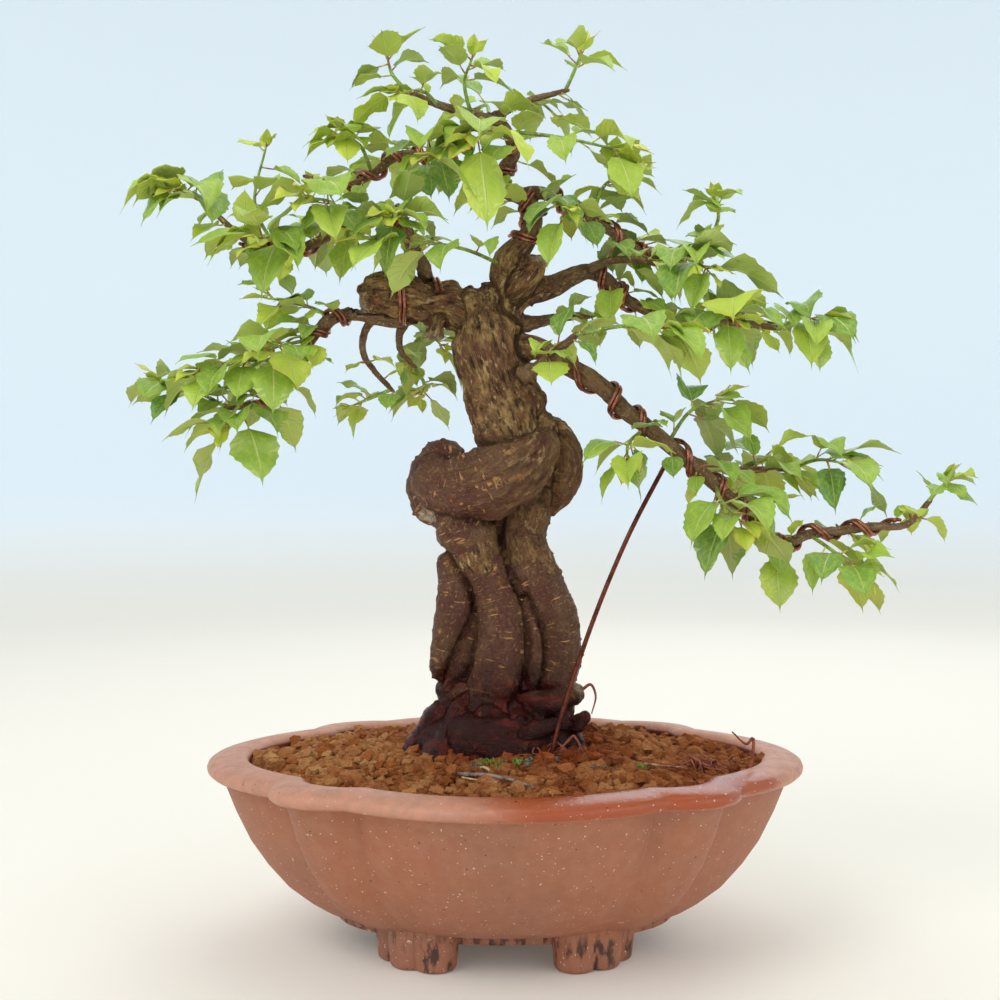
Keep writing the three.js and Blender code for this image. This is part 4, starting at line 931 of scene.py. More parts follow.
def make_pot(look):
    """The bowl with its cloud feet and two drain holes."""
    body = bmesh.new()
    lathe_bowl(body, bowl_levels(look))
    shell = bpy.data.objects.new("shell", bpy.data.meshes.new("shell"))
    body.to_mesh(shell.data)
    body.free()
    bpy.context.scene.collection.objects.link(shell)
    feet = bmesh.new()
    lobe = look.foot_lobe
    corners = [(side_x, side_y) for side_x in (-1, 1) for side_y in (-1, 1)]
    for side_x, side_y in corners:
        for along, out in ((-0.5, 0), (0, 0.2), (0.5, 0)):
            around = math.pi / 4 + along * 0.42
            place = Vector((
                side_x * (ring_half_length - lobe - 2 + out * lobe) * math.cos(around) * 0.86,
                side_y * (ring_half_width - lobe + 3 + out * lobe) * math.sin(around) * 1.3, 0))
            round_column(feet, place, lobe, lobe * 0.84, look.foot_height + 8, 2.2)
    cut_or_join(shell, feet, "UNION")
    drains = bmesh.new()
    for side in (-drain_place, drain_place):
        bmesh.ops.create_cone(
            drains, cap_ends=True, segments=40, radius1=look.drain_radius, radius2=look.drain_radius,
            depth=30, matrix=Matrix.Translation((side, 0, 22)))
    cut_or_join(shell, drains, "DIFFERENCE")
    whole = bmesh.new()
    whole.from_mesh(shell.data)
    bpy.data.objects.remove(shell)
    bmesh.ops.remove_doubles(whole, verts=whole.verts, dist=1e-3)
    finish_piece(whole, "clay_pot", [unglazed_stoneware(look)], "clay", "pot", sharp_angle=42)


# ---- Soil ----


def granule_shapes(chance, kinds=10):
    """A few crumbly lumps, one unit across: cubes split once, rounded and knocked about."""
    shapes = []
    for _ in range(kinds):
        lump = bmesh.new()
        bmesh.ops.create_cube(lump, size=1)
        bmesh.ops.subdivide_edges(lump, edges=lump.edges, cuts=1, use_grid_fill=True)
        for corner in lump.verts:
            corner.co = corner.co.lerp(corner.co.normalized() * 0.55, 0.6)
            corner.co *= chance.uniform(0.74, 1.16)
        shape = bpy.data.meshes.new("lump")
        lump.to_mesh(shape)
        lump.free()
        shape.attributes.new("tone", "FLOAT", "POINT")
        shapes.append(shape)
    return shapes


def lay_lump(mesh, shape, place, size, tone, chance):
    """Adds one lump, turned and squashed at random."""
    turn = Matrix.Rotation(chance.uniform(0, math.tau), 4, Vector((
        chance.uniform(-1, 1), chance.uniform(-1, 1), chance.uniform(-1, 1))).normalized())
    squash = Matrix.Diagonal((size * chance.uniform(0.85, 1.15), size, size * chance.uniform(0.72, 0.95), 1))
    move = Matrix.Translation(place) @ squash @ turn
    shape.transform(move)
    shape.attributes["tone"].data.foreach_set("value", [tone] * len(shape.vertices))
    mesh.from_mesh(shape)
    shape.transform(move.inverted())


def soil_height(surface, x, y):
    """The height of the packed soil under a place, or None off it or down a stem's pocket."""
    start = to_frame @ Vector((x, y, soil_level + 30))
    hit = surface.ray_cast(start, Vector((0, 0, -1)))[0]
    if hit is None:
        return None
    height = (from_frame @ hit).z
    return height if height > pot_height - soil_recess - 2 else None


def make_granules(look):
    """Loose granules over the packed soil, laid in rows that chance has disturbed."""
    chance = random.Random(11)
    surface = cad_surface("soil")
    shapes = granule_shapes(chance)
    halves = {"soil_granules_left": bmesh.new(), "soil_granules_right": bmesh.new()}
    row_gap = 0.87 * look.spacing
    rows = int(2 * half_width / row_gap)
    columns = int(2 * half_length / look.spacing)
    layers = ((0, 1.0, 0.25), (1, 0.42, 0.75))
    for layer, share, lift in layers:
        for row in range(rows):
            for column in range(columns):
                x = (column + 0.5 * (row % 2) + 0.5 * layer) * look.spacing - half_length
                y = (row + 0.4 * layer) * row_gap - half_width
                x += chance.uniform(-0.32, 0.32) * look.spacing
                y += chance.uniform(-0.32, 0.32) * look.spacing
                size = look.smallest + (look.largest - look.smallest) * chance.random() ** 1.7
                tone = chance.random()
                height = soil_height(surface, x, y)
                if height is None or chance.random() > share:
                    continue
                place = Vector((x, y, height + size * lift * chance.uniform(0.3, 1.0)))
                half = "soil_granules_left" if x < 0 else "soil_granules_right"
                lay_lump(halves[half], chance.choice(shapes), place, size, tone, chance)
    material = baked_clay_granules(look)
    for name, mesh in halves.items():
        finish_piece(mesh, name, [material], "soil", sharp_angle=48)
    for shape in shapes:
        bpy.data.meshes.remove(shape)


def on_soil(surface, x, y, lift):
    """A place a little above the soil."""
    return Vector((x, y, (soil_height(surface, x, y) or soil_level) + lift))


def make_moss(look, chance, surface):
    """Tufts of moss, each a cushion of short blades that lean every way."""
    moss = bmesh.new()
    tufts = ((-100, -52, 4, 26), (-9, -47, 6, 40), (6, -46, 5, 30), (1, -60, 3, 14), (-60, 60, 5, 26),
             (40, 58, 5, 26), (66, -40, 3, 12), (-4, -52, 4, 18))
    for x, y, spread, blades in tufts:
        for _ in range(blades):
            place = on_soil(surface, x + chance.gauss(0, spread / 2), y + chance.gauss(0, spread / 3), 3.4)
            lean_x = Matrix.Rotation(chance.uniform(-0.7, 0.7), 4, "X")
            lean_y = Matrix.Rotation(chance.uniform(-0.7, 0.7), 4, "Y")
            bmesh.ops.create_cone(
                moss, cap_ends=True, segments=5, radius1=0.55, radius2=0.08, depth=2.6,
                matrix=Matrix.Translation(place) @ lean_x @ lean_y)
    skin = plain_matter("cushion_moss", (look.moss_colour, linear("#9aa83c")), 2, 0.8)
    finish_piece(moss, "moss_tufts", [skin], "leaf")


def make_pebbles(look, chance, surface):
    """Dark lava pebbles in front of the trunk."""
    pebbles = bmesh.new()
    shapes = granule_shapes(chance, 5)
    for x, y, count, spread in ((12, -45, 16, 8), (38, -48, 6, 6), (-12, -50, 6, 5)):
        for _ in range(count):
            place = on_soil(surface, x + chance.gauss(0, spread), y + chance.gauss(0, spread / 2.5), 2.2)
            lay_lump(pebbles, chance.choice(shapes), place, chance.uniform(3.0, 4.4), 0, chance)
    for shape in shapes:
        bpy.data.meshes.remove(shape)
    skin = plain_matter("lava_rock", (look.pebble_colour, linear("#7d7466")), 1.5, 0.9)
    finish_piece(pebbles, "lava_pebbles", [skin], "soil", sharp_angle=180)


def make_straw(look, surface):
    """Bits of straw and twig: each a route over the soil, a radius and two colours."""
    bits = {
        "straw_stalk": ([(-16, -44, 5), (-10, -57, 4.2), (-5, -68, 4.4)], 0.75,
                        (look.straw_colour, linear("#a8895c"))),
        "dry_twig": ([(-22, -66, 4.5), (-8, -70, 5), (4, -76, 4.6), (13, -83, 4.2)], 1.05,
                     (linear("#9c8a80"), linear("#5d3f35"))),
        "straw_chip": ([(-20, -70, 4.4), (-14, -74, 4.6), (-4, -77, 4.4)], 0.5,
                       (look.straw_colour, linear("#8d6f45"))),
        "wood_splinter": ([(66, -44, 5), (76, -46, 5.4), (84, -43, 4.8)], 0.7,
                          (linear("#b9916a"), look.root_colour)),
    }
    for name, (route, radius, colours) in bits.items():
        mesh = bmesh.new()
        points = [on_soil(surface, *place) for place in route]
        roll_tube(mesh, points, [radius, radius * 0.9, radius * 0.7], 8, 14, taper=0.3)
        close_tubes(mesh)
        finish_piece(mesh, name, [plain_matter("dry_" + name, colours, 3, 0.7)], "bark")


def make_fine_roots(look, chance, surface):
    """Fine red roots: tufts by the trunk, a clump, one stray by the rim and one that hangs."""
    roots = bmesh.new()
    tufts = ((24, -31, 9), (28, -32, 6), (33, -31, 12), (12, -33, 9), (92, -34, 8), (96, -36, 8),
             (101, -34, 8), (112, -20, 8))
    for x, y, lift in tufts:
        for _ in range(4):
            heading = chance.uniform(0, math.tau)
            reach = chance.uniform(6, 13)
            route = [on_soil(surface, x, y, lift)]
            for share in (1 / 3, 2 / 3, 1):
                wander = heading + chance.uniform(-0.7, 0.7)
                along, aside = math.cos(wander) * reach * share, 0.5 * math.sin(wander) * reach * share
                low = max(lift * (1 - share), 3.5) + chance.uniform(-0.5, 1.2)
                route.append(on_soil(surface, x + along, y + aside, low))
            roll_tube(roots, route, [0.55, 0.45, 0.35, 0.2], 6, 12)
    for _ in range(30):
        heading, reach = chance.uniform(0, math.tau), chance.uniform(3, 7)
        x, y = 93 + chance.gauss(0, 3), -36 + chance.gauss(0, 2)
        route = []
        for step in range(4):
            out = reach * step / 3
            route.append(on_soil(surface, x + math.cos(heading + step) * out,
                                 y + math.sin(heading + step) * out, 3 + chance.uniform(0, 6)))
        roll_tube(roots, route, [0.6, 0.55, 0.45, 0.3], 5, 9)
    stray = ((116, -40, 0), (118, -40, 11), (115, -40, 19), (108, -40, 24))
    roll_tube(roots, [on_soil(surface, *place) for place in stray], [0.9, 0.8, 0.7, 0.4], 6, 16)
    hanging = ((38, -18, 31), (42, -18.5, 33.5), (44.5, -18.5, 28), (42.5, -18.5, 19))
    roll_tube(roots, [on_tree(*place) for place in hanging], [0.9, 0.75, 0.6, 0.35], 6, 18)
    close_tubes(roots)
    skin = plain_matter("fine_roots", (look.root_colour, linear("#a8603f")), 3, 0.55)
    finish_piece(roots, "fine_roots", [skin], "bark")


def make_debris(look):
    """Moss, dark pebbles, straw and fine roots that lie on the soil."""
    chance = random.Random(5)
    surface = cad_surface("soil")
    make_moss(look, chance, surface)
    make_pebbles(look, chance, surface)
    make_straw(look, surface)
    make_fine_roots(look, chance, surface)


# ---- Wood ----


def route_samples():
    """Places along every centre line, with what the bark there needs to know."""
    samples = []
    for number, (name, (kind, _)) in enumerate(wood.items()):
        points, radii = branch(name)
        whole = route_length(points)
        steps = max(int(whole / 2), 4)
        for share, centre, tangent, across, other in frames_along(points, 0, 1, steps):
            samples.append(Sample(name, kind, radius_at(radii, share), centre, tangent, across, other,
                                  share * whole + number * 137))
    return samples


def bark_height(kind, radius, bark, place, look):
    """How far the bark stands out, in mm: broad swellings, old plates or rings round a stem."""
    swell = noise.noise(place / 17) + noise.noise(place / 7 + Vector((9, 9, 9))) * 0.45
    swell *= look.swell
    if kind == "branch":
        knots = max(noise.noise(Vector((bark.z / 9, radius, 3))) - 0.25, 0) * 1.6
        return (noise.noise(bark / 3) * 0.22 + knots) * min(radius / 3, 1.3)
    flat = Vector((bark.x, bark.y, bark.z * 0.42))
    if kind == "old":
        plates = min(abs(noise.noise(flat / 5.2)) * 2.4, 0.8) + 0.5 * abs(noise.noise(flat / 2.6))
        return swell * 1.1 + (plates - 0.55) * look.plate_depth * 1.5
    low_down = held((soil_level + 26 - place.z) / 20)
    rings = noise.noise(Vector((bark.x / 16, bark.y / 16, bark.z / 2.4))) * (0.7 + 1.1 * low_down)
    slits = max(noise.noise(Vector((bark.x / 6, bark.y / 6, bark.z / 1.4))) - 0.26, 0) * 1.8
    warts = max(noise.noise(bark / 3.4) - 0.42, 0) * 7
    return swell * 0.8 + (rings + slits + warts) * look.ring_depth


def join_wood(look):
    """Every stem, root and branch as one skin: overlapping tubes melted together on a fine grid."""
    tubes = bmesh.new()
    for name in wood:
        points, radii = branch(name)
        sides = 20 if max(radii) > 9 else 12
        roll_tube(tubes, points, radii, sides, max(int(route_length(points) / 4), 4), taper=0.25)
    close_tubes(tubes)
    raw = bpy.data.objects.new("raw_wood", bpy.data.meshes.new("raw_wood"))
    tubes.to_mesh(raw.data)
    tubes.free()
    bpy.context.scene.collection.objects.link(raw)
    melt = raw.modifiers.new("melt", "REMESH")
    melt.mode = "VOXEL"
    melt.voxel_size = look.grid
    bpy.context.view_layer.update()
    melted = bpy.data.meshes.new_from_object(raw.evaluated_get(bpy.context.evaluated_depsgraph_get()))
    bpy.data.objects.remove(raw)
    skin = bmesh.new()
    skin.from_mesh(melted)
    bpy.data.meshes.remove(melted)
    return skin


def nearest_wood(skin, look):
    """For each corner of the wood, the nearest sample, and how deep in a crease it lies."""
    samples = route_samples()
    centres = KDTree(len(samples))
    for number, sample in enumerate(samples):
        centres.insert(sample.centre, number)
    centres.balance()
    nearest, creases = {}, {}
    for corner in skin.verts:
        gaps = {}
        for _, index, reach in centres.find_n(corner.co, 40):
            sample = samples[index]
            gap = reach - sample.radius
            if sample.branch not in gaps or gap < gaps[sample.branch][0]:
                gaps[sample.branch] = (gap, index)
        ranked = sorted(gaps.values())
        nearest[corner] = samples[ranked[0][1]]
        creases[corner] = 0
        if len(ranked) > 1 and min(samples[index].radius for _, index in ranked[:2]) > 3:
            apart = ranked[1][0] - ranked[0][0]
            creases[corner] = math.exp(-(apart / look.crease_width) ** 2)
    return nearest, creases


def make_wood(look):
    """The trunk and branches, with bark relief and the attributes that the bark material reads."""
    skin = join_wood(look)
    bark_place = skin.verts.layers.float_vector.new("bark_place")
    marks = {name: skin.verts.layers.float.new(name) for name in ("old", "thin", "wound")}
    nearest, creases = nearest_wood(skin, look)
    thick = [corner for corner in skin.verts if nearest[corner].radius > 5]
    every_way = {"use_axis_x": True, "use_axis_y": True, "use_axis_z": True}
    for corners, factor in ((thick, 0.5), (thick, 0.5), (skin.verts, 0.4), (skin.verts, 0.4)):
        bmesh.ops.smooth_vert(skin, verts=corners, factor=factor, **every_way)
    skin.normal_update()
    cuts = [(on_tree(*cut[:3]), cut[3]) for cut in wounds]
    moves = []
    for corner in skin.verts:
        sample = nearest[corner]
        aside = corner.co - sample.centre
        bark = Vector((aside.dot(sample.across), aside.dot(sample.other),
                       sample.along + aside.dot(sample.tangent)))
        corner[bark_place] = bark / 1000
        height = corner.co.z - soil_level
        raggedness = 14 * noise.noise(corner.co / 12)
        smooth_stem = sample.kind == "stem" and height + raggedness < 92
        smooth_coil = sample.kind == "old" and corner.co.x + raggedness < -21 and 100 < height < 156
        on_coil = held((160 - height) / 8) * held((height - 98) / 8)
        aged = min(held((corner.co.x + raggedness + 21) / 50), 0.6)
        corner[marks["old"]] = 0.0 if smooth_stem or smooth_coil else 1 - on_coil * (1 - aged)
        corner[marks["thin"]] = held((6.5 - sample.radius) / 3) if sample.kind == "branch" else 0
        cut = min((corner.co - place).length / size for place, size in cuts)
        corner[marks["wound"]] = held((1.05 + 0.25 * noise.noise(corner.co / 3) - cut) * 5)
        kind = "stem" if smooth_coil else sample.kind
        out = bark_height(kind, sample.radius, bark, corner.co, look)
        if kind != "branch":
            out -= creases[corner] * look.crease_depth * min(max(height / 26, 0.35), 1)
        if cut < 1.6:
            out += 0.8 * math.exp(-((cut - 1.1) / 0.18) ** 2)
        moves.append(corner.normal * out)
    for corner, move in zip(skin.verts, moves):
        corner.co += move
    finish_piece(skin, "tree_wood", [fruit_tree_bark(look)], "bark", "trunk", sharp_angle=180)


# ---- Wires ----


def helix(name, look, aside):
    """The centre line of one of a wire's two strands, wound round its branch."""
    branch_name, start, end, turns, first = wires[name]
    points, radii = branch(branch_name)
    steps = max(int(turns * steps_per_turn), 16)
    places = []
    for step, (share, centre, tangent, across, other) in enumerate(frames_along(points, start, end, steps)):
        turn = math.radians(first) + math.tau * turns * step / steps
        out = across * math.cos(turn) + other * math.sin(turn)
        stand = radius_at(radii, share) + look.gap + look.strand_radius
        stand += 0.2 * (1 + math.sin(step * 0.19 + aside))
        places.append(centre + out * stand + tangent * aside * look.strand_radius * 1.08)
    return places


def make_wires(look):
    """Every training wire: two strands laid side by side and wound round their branch."""
    finish = anodised_aluminium("anodised_aluminium_wire", look.copper_colour, look.dull_colour)
    for name in wires:
        mesh = bmesh.new()
        for aside in (-1, 1):
            places = helix(name, look, aside)
            roll_tube(mesh, places, [look.strand_radius] * 2, 10, len(places) - 1, taper=0.12)
        close_tubes(mesh)
        finish_piece(mesh, name + "_strands", [finish], "training_wire", name)


def make_guy(look):
    """The guy wire that holds the falling branch down to the soil, from just under the branch."""
    points, radii = branch(guy_route["branch"])
    hold = route_point(points, guy_route["at"])
    girth = radius_at(radii, guy_route["at"])
    top = hold - Vector((0, 0, girth + 2.2 + guy_route["radius"] + 1.2))
    anchor = on_tree(*guy_route["anchor"])
    route = [anchor - Vector((0, 0, guy_route["buried"])), anchor]
    for share in (0.35, 0.7):
        bow = math.sin(math.pi * share)
        route.append(anchor.lerp(top, share) + Vector((-4 * bow, 0, 5 * bow)))
    route.append(top)
    mesh = bmesh.new()
    roll_tube(mesh, route, [guy_route["radius"]] * 5, 12, 60, taper=0.1)
    close_tubes(mesh)
    finish = anodised_aluminium("anodised_guy_wire", linear("#6e3526"), linear("#4a2018"))
    finish_piece(mesh, "guy_wire_rod", [finish], "guy_wire", "guy_wire")


# ---- Shoots ----


def leaf_heading(tangent, turn):
    """Which way a leaf leaves its twig, turned round it and laid towards the level."""
    level = tangent.cross(Vector((0, 0, 1))).normalized()
    upright = level.cross(tangent)
    heading = level * math.cos(turn) + upright * math.sin(turn)
    heading = heading * math.cos(leaf_lean) + tangent * math.sin(leaf_lean)
    heading.z = heading.z * 0.6 + 0.1
    return heading.normalized()


def blade_width(share):
    """Half the width of a leaf at a share of its blade, from a round base to a short drawn-out tip."""
    body_end = 0.87
    body = math.sin(math.pi * (share / body_end) ** 0.72) ** 0.78 if 0 < share < body_end else 0
    drip = 0.16 * (1 - share) ** 0.8 if share > 0.5 else 0
    return max(body, drip)


def paint_faces(corners, material_index):
    """Gives the faces round some corners their place in the list of materials."""
    for corner in corners:
        for face in corner.link_faces:
            face.material_index = material_index


def grow_leaf(mesh, layers, base, heading, size, droop, tone, blush, look, chance):
    """One leaf: a stalk, and a blade drawn from a grid, folded on its midrib and arched down."""
    side = heading.cross(Vector((0, 0, 1))).normalized()
    arched = (heading + Vector((0, 0, -droop))).normalized()
    middle = base + heading * 0.45 * size
    tip = middle + arched * 0.6 * size
    bend = middle + heading * 0.1 * size
    stalk_share = chance.uniform(0.13, 0.26)

    def spine(share):
        return base.lerp(bend, share).lerp(bend.lerp(tip, share), share)

    stalk = [base, spine(stalk_share / 2) - Vector((0, 0, 0.3)), spine(stalk_share + 0.02)]
    stalk_radii = [look.stalk_radius * 1.2, look.stalk_radius, look.stalk_radius * 0.8]
    paint_faces(roll_tube(mesh, stalk, stalk_radii, 5, 4), stalk_face)
    columns, rows = 4, 14
    blade = bmesh.ops.create_grid(mesh, x_segments=columns, y_segments=rows, size=1, calc_uvs=True)["verts"]
    fold = math.radians(chance.uniform(10, 44))
    twist = chance.uniform(-0.9, 0.9)
    ripple = chance.uniform(0.02, 0.08) * size
    phase = chance.uniform(0, math.tau)
    half = size * look.width_share / 2 * chance.uniform(0.86, 1.12)
    faces = dict.fromkeys(face for corner in blade for face in corner.link_faces)
    for corner in blade:
        across, row = corner.co.x, round((corner.co.y + 1) / 2 * rows)
        share = row / rows
        along = stalk_share + (1 - stalk_share) * share
        place = spine(along)
        ahead = (spine(min(along + 0.02, 1.02)) - place).normalized()
        aside = (side - ahead * side.dot(ahead)).normalized()
        aside = (aside * math.cos(twist * share) + aside.cross(ahead) * math.sin(twist * share)).normalized()
        up = aside.cross(ahead)
        width = blade_width(share) * half
        if abs(across) > 0.9 and 0 < row < rows - 1:
            width *= 1.05 if row % 2 else 0.95
        rise = abs(across) * math.sin(fold) - 0.25 * across * across
        wave = ripple * math.sin(share * 9 + phase + across) * abs(across) * min(width / half, 1)
        corner.co = place + aside * across * width * math.cos(fold) + up * (rise * width + wave)
        corner[layers["tone"]] = tone
        corner[layers["blush"]] = blush
    for face in bmesh.ops.solidify(mesh, geom=list(faces), thickness=look.thickness)["geom"]:
        if isinstance(face, bmesh.types.BMFace) and face not in faces:
            face.material_index = under_face


def leaf_mesh():
    """An empty mesh with the layers that leaves need."""
    mesh = bmesh.new()
    layers = {name: mesh.verts.layers.float.new(name) for name in ("tone", "blush")}
    mesh.loops.layers.uv.new("leaf")
    return mesh, layers


def is_clear(surface, base, heading, long):
    """Whether a leaf that leaves a place this way stays off the wood."""
    probes = [to_frame @ (base + heading * long * share) for share in (0.5, 0.9)]
    return min(surface.find_nearest(probe)[3] for probe in probes) > 0.004


def finish_leaves(mesh, name, materials, *nodes):
    """Welds the twigs and stalks, closes their ends and makes the leaves a piece."""
    stalks = [corner for corner in mesh.verts
              if any(face.material_index >= stalk_face for face in corner.link_faces)]
    bmesh.ops.remove_doubles(mesh, verts=stalks, dist=1e-4)
    bmesh.ops.holes_fill(mesh, edges=[edge for edge in mesh.edges if edge.is_boundary], sides=0)
    bmesh.ops.recalc_face_normals(mesh, faces=mesh.faces)
    finish_piece(mesh, name, materials, "leaf", *nodes, sharp_angle=50)


def make_shoot(name, number, look, materials, trunk_surface):
    """A green twig with its leaves; the youngest, at its tip, are small and bright."""
    route, leaves, size, droop = shoots[name]
    chance = random.Random(100 + number)
    points = [on_tree(*place) for place in route]
    mesh, layers = leaf_mesh()
    radii = [look.twig_radius, look.twig_radius * 0.85, look.twig_radius * 0.5]
    paint_faces(roll_tube(mesh, points, radii, 8, 18, taper=0.2), twig_face)
    young = chance.uniform(0.25, 0.75)
    extra_leaves = look.extra_leaves if points[0].z < soil_level + bare_above else 0
    full_leaves = leaves + extra_leaves
    for leaf in range(full_leaves + look.tip_leaves):
        is_tip = leaf >= full_leaves
        if is_tip:
            share = chance.uniform(0.93, 1.0)
            long = size * chance.uniform(0.4, 0.65)
            lean = droop * 0.3
        elif leaf < leaves:
            share = first_leaf_share + (1 - first_leaf_share) * (leaf + 0.5) / leaves
            long = size * (0.85 + 0.3 * wobble(number * 17 + leaf)) * chance.uniform(0.95, 1.18)
            lean = droop * chance.uniform(0.5, 1.25)
        else:
            share = chance.uniform(0.02, 0.95)
            long = size * chance.uniform(0.6, 1.1)
            lean = droop * chance.uniform(0.3, 1.3)
        base = route_point(points, share)
        ahead = (route_point(points, share + 1e-3) - route_point(points, share - 1e-3)).normalized()
        turn = number + leaf * golden_angle
        for _ in range(6):
            heading = leaf_heading(ahead, turn)
            if is_tip:
                heading = (heading + ahead * 1.4 + Vector((0, 0, 0.3))).normalized()
            else:
                heading = (heading + Vector((0, 0, chance.uniform(-0.55, 0.6)))).normalized()
            if is_clear(trunk_surface, base, heading, long):
                break
            turn += 0.7
        tone = 0.95 if is_tip else held(young * 0.7 + 0.5 * (share - 0.5) + chance.uniform(-0.3, 0.3))
        blush = chance.uniform(0.3, 0.9) if is_tip else 0.25 * chance.random() * tone
        grow_leaf(mesh, layers, base, heading, long, lean, tone, blush, look, chance)
    finish_leaves(mesh, name + "_leaves", materials, name)


def make_spur_leaves(name, number, look, materials, trunk_surface):
    """Leaves on short spurs along a thin branch, singly and in twos and threes."""
    start, end, leaves, size, droop = spurs[name]
    chance = random.Random(300 + number)
    points, radii = branch(name)
    mesh, layers = leaf_mesh()
    for leaf in range(leaves):
        share = min(start + (end - start) * (leaf + chance.uniform(-0.3, 1)) / leaves, 1)
        ahead = (route_point(points, share + 1e-3) - route_point(points, share - 1e-3)).normalized()
        young = chance.random()
        for _ in range(chance.choice((1, 1, 1, 2, 2, 3))):
            long = size * chance.uniform(0.55, 1.25) * (0.7 if young > 0.85 else 1)
            for _ in range(8):
                heading = leaf_heading(ahead, chance.uniform(0, math.tau))
                heading = (heading + Vector((0, 0, chance.uniform(-0.4, 0.7)))).normalized()
                base = route_point(points, share) + heading * radius_at(radii, share) * 0.8
                if is_clear(trunk_surface, base, heading, long):
                    break
            tone = held(young * 0.8 + chance.uniform(-0.15, 0.35))
            grow_leaf(mesh, layers, base, heading, long, droop * chance.uniform(0.3, 1.5), tone,
                      0.3 * chance.random() * tone, look, chance)
    finish_leaves(mesh, name + "_spur_leaves", materials)


def make_shoots(look):
    """Every leafy shoot, each standing for its own node."""
    materials = [leaf_top(look), leaf_under(look), leaf_stalk_skin(look), green_twig_bark(look)]
    trunk_surface = cad_surface("trunk")
    for number, name in enumerate(shoots):
        make_shoot(name, number, look, materials, trunk_surface)
    for number, name in enumerate(spurs):
        make_spur_leaves(name, number, look, materials, trunk_surface)


# ---- Stage ----


def make_stage(look):
    """A pale floor that curves up into a backdrop, soft lamps, and the camera."""
    scene = bpy.context.scene
    scene.view_settings.view_transform = "Standard"
    dish = bmesh.new()
    floor_radius, bend, wall_height = 1.7, 0.6, 2.4
    profile = [(0.0, 0.0), (floor_radius, 0.0)]
    for step in range(1, 9):
        turn = math.pi / 2 * step / 8
        profile.append((floor_radius + bend * math.sin(turn), bend * (1 - math.cos(turn))))
    profile.append((floor_radius + bend, wall_height))
    chain = [bmesh.ops.create_vert(dish, co=(out, 0, up))["vert"][0] for out, up in profile]
    edges = [bmesh.ops.contextual_create(dish, geom=pair)["edges"][0] for pair in zip(chain, chain[1:])]
    bmesh.ops.spin(
        dish, geom=chain + edges, cent=(0, 0, 0), axis=(0, 0, 1), angle=math.tau, steps=96, use_merge=True)
    bmesh.ops.remove_doubles(dish, verts=dish.verts, dist=1e-5)
    bmesh.ops.recalc_face_normals(dish, faces=dish.faces)
    bmesh.ops.reverse_faces(dish, faces=dish.faces)
    data = bpy.data.meshes.new("backdrop")
    dish.to_mesh(data)
    dish.free()
    data.shade_smooth()
    backdrop = bpy.data.objects.new("backdrop", data)
    scene.collection.objects.link(backdrop)
    material, tree, shader, place = new_material("matt_paper_backdrop", Roughness=0.95)
    up = add_node(tree, "SeparateXYZ", {0: place}, "Z")
    rise = add_node(tree, "MapRange", {0: up, 1: -0.04, 2: 0.22}, **soft)
    paper = coat(tree, look.floor_colour, look.wall_colour, rise)
    glow = add_node(tree, "MapRange", {0: rise, 3: 0.08, 4: 0.23}, **soft)
    tree.links.new(paper, shader.inputs["Base Color"])
    tree.links.new(paper, shader.inputs["Emission Color"])
    tree.links.new(glow, shader.inputs["Emission Strength"])
    data.materials.append(material)
    sky = bpy.data.worlds.new("soft_sky")
    sky.use_nodes = True
    sky.node_tree.nodes["Background"].inputs[0].default_value = look.sky_colour
    sky.node_tree.nodes["Background"].inputs[1].default_value = 0.48
    scene.world = sky
    middle = pot_middle + Vector((0, 0, 0.2))
    lamps = (("key_lamp", (-0.9, -1.1, 1.5), 1.0, 12), ("fill_lamp", (1.2, -0.9, 1.0), 1.2, 4.2),
             ("top_lamp", (0.1, 0.3, 1.7), 1.2, 6.5), ("back_lamp", (0.4, 1.3, 1.1), 1.0, 3.6))
    for name, at, size, power in lamps:
        lamp = bpy.data.lights.new(name, "AREA")
        lamp.size = size
        lamp.energy = power
        holder = bpy.data.objects.new(name, lamp)
        holder.location = at
        holder.rotation_euler = (middle - Vector(at)).to_track_quat("-Z", "Y").to_euler()
        scene.collection.objects.link(holder)
    camera = bpy.data.objects.new("camera", bpy.data.cameras.new("camera"))
    camera.data.lens = look.lens
    camera.data.sensor_width = 36
    camera.data.clip_start = 0.02
    camera.location = pot_middle + Vector((-0.0025, -0.729, 0.233))
    camera.rotation_euler = (math.radians(90 - 0.96), 0, 0)
    scene.collection.objects.link(camera)
    scene.camera = camera


# ---- The add-on ----


def set_finish(node, material):
    """Gives a model's own node a better material."""
    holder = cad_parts[node]
    if not holder.material_slots:
        holder.data.materials.append(material)
    for slot in holder.material_slots:
        slot.material = material


class BONSAI_OT_pot(bpy.types.Operator):
    """Make the clay bowl with its rim, base ring, feet and drain holes"""

    bl_idname = "bonsai.pot"
    bl_label = "Make the Pot"

    def execute(self, context):
        make_pot(context.scene.bonsai_pot)
        return {"FINISHED"}


class BONSAI_OT_drains(bpy.types.Operator):
    """Give the drain screens and their clips their finish"""

    bl_idname = "bonsai.drains"
    bl_label = "Finish the Drain Screens"

    def execute(self, context):
        look = context.scene.bonsai_wires
        clip = anodised_aluminium("anodised_aluminium_clip", look.copper_colour, look.dull_colour)
        plastic = moulded_mesh_plastic()
        for side in ("left", "right"):
            set_finish("drain_screen_" + side, plastic)
            set_finish("screen_clip_" + side, clip)
        return {"FINISHED"}


class BONSAI_OT_soil(bpy.types.Operator):
    """Finish the packed soil and lay loose granules over it"""

    bl_idname = "bonsai.soil"
    bl_label = "Make the Soil"

    def execute(self, context):
        look = context.scene.bonsai_soil
        set_finish("soil", soil_bed(look))
        make_granules(look)
        return {"FINISHED"}


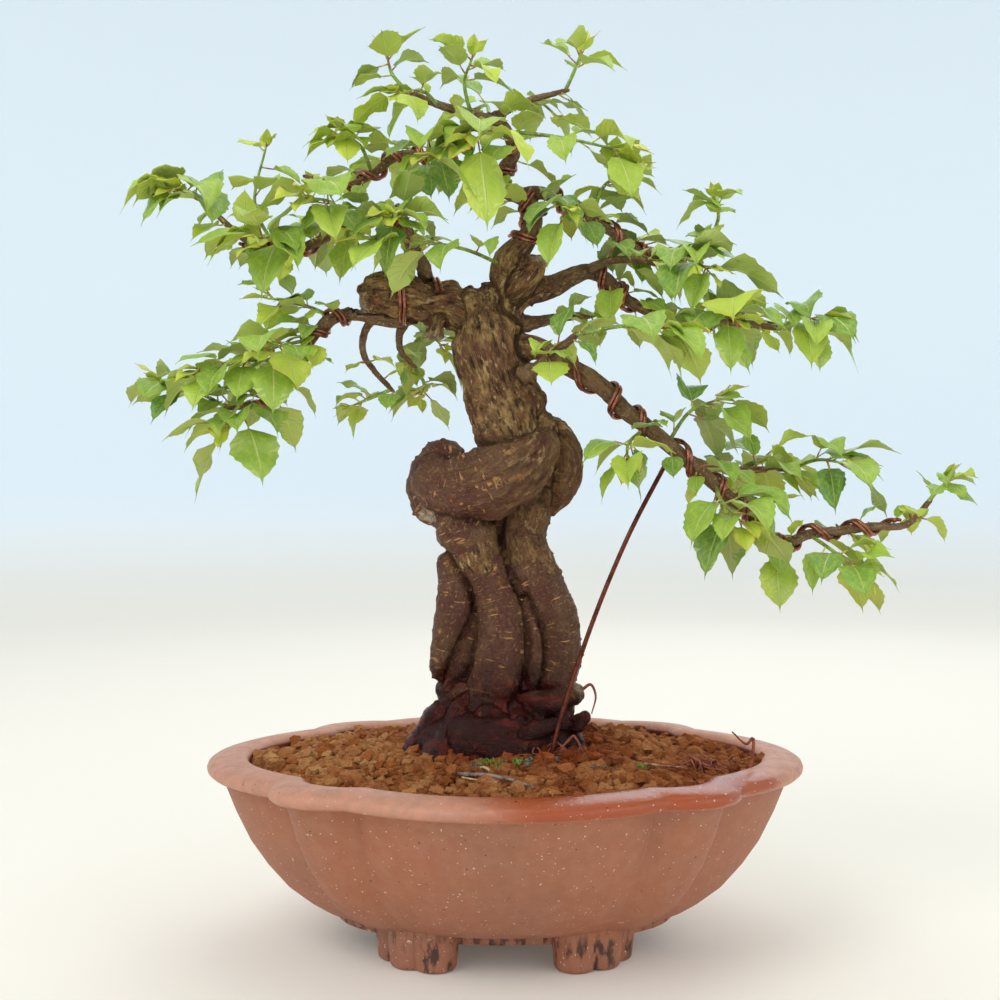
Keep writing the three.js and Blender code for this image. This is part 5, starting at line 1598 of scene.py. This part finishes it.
class BONSAI_OT_debris(bpy.types.Operator):
    """Scatter moss, pebbles, straw and fine roots on the soil"""

    bl_idname = "bonsai.debris"
    bl_label = "Scatter Moss and Straw"

    def execute(self, context):
        make_debris(context.scene.bonsai_soil)
        return {"FINISHED"}


class BONSAI_OT_wood(bpy.types.Operator):
    """Make the stems, trunk and branches with their bark"""

    bl_idname = "bonsai.wood"
    bl_label = "Make the Wood"

    def execute(self, context):
        make_wood(context.scene.bonsai_wood)
        return {"FINISHED"}


class BONSAI_OT_wires(bpy.types.Operator):
    """Wind the training wires and set the guy wire"""

    bl_idname = "bonsai.wires"
    bl_label = "Make the Wires"

    def execute(self, context):
        make_wires(context.scene.bonsai_wires)
        make_guy(context.scene.bonsai_wires)
        return {"FINISHED"}


class BONSAI_OT_shoots(bpy.types.Operator):
    """Grow the leafy shoots"""

    bl_idname = "bonsai.shoots"
    bl_label = "Grow the Shoots"

    def execute(self, context):
        make_shoots(context.scene.bonsai_leaves)
        return {"FINISHED"}


class BONSAI_OT_stage(bpy.types.Operator):
    """Set the floor, the lamps and the camera"""

    bl_idname = "bonsai.stage"
    bl_label = "Set the Stage"

    def execute(self, context):
        make_stage(context.scene.bonsai_stage)
        return {"FINISHED"}


class BONSAI_PT_panel(bpy.types.Panel):
    """Lists the steps that make the bonsai"""

    bl_idname = "BONSAI_PT_panel"
    bl_label = "Bonsai"
    bl_space_type = "VIEW_3D"
    bl_region_type = "UI"
    bl_category = "Bonsai"

    def draw(self, context):
        for maker in makers:
            self.layout.operator(maker.bl_idname)


makers = (BONSAI_OT_pot, BONSAI_OT_drains, BONSAI_OT_soil, BONSAI_OT_debris, BONSAI_OT_wood,
          BONSAI_OT_wires, BONSAI_OT_shoots, BONSAI_OT_stage)
settings = {
    "bonsai_pot": BonsaiPotSettings,
    "bonsai_soil": BonsaiSoilSettings,
    "bonsai_wood": BonsaiWoodSettings,
    "bonsai_leaves": BonsaiLeafSettings,
    "bonsai_wires": BonsaiWireSettings,
    "bonsai_stage": BonsaiStageSettings,
}


def register():
    """Registers the settings, the makers and the panel."""
    for name, group in settings.items():
        bpy.utils.register_class(group)
        setattr(bpy.types.Scene, name, bpy.props.PointerProperty(type=group))
    for maker in makers:
        bpy.utils.register_class(maker)
    bpy.utils.register_class(BONSAI_PT_panel)


def unregister():
    """Takes everything off again."""
    bpy.utils.unregister_class(BONSAI_PT_panel)
    for maker in reversed(makers):
        bpy.utils.unregister_class(maker)
    for name, group in reversed(settings.items()):
        delattr(bpy.types.Scene, name)
        bpy.utils.unregister_class(group)


def main():
    """Makes every piece in order."""
    register()
    bpy.ops.bonsai.stage()
    bpy.ops.bonsai.pot()
    bpy.ops.bonsai.drains()
    bpy.ops.bonsai.soil()
    bpy.ops.bonsai.debris()
    bpy.ops.bonsai.wood()
    bpy.ops.bonsai.wires()
    bpy.ops.bonsai.shoots()


if __name__ == "__main__":
    main()
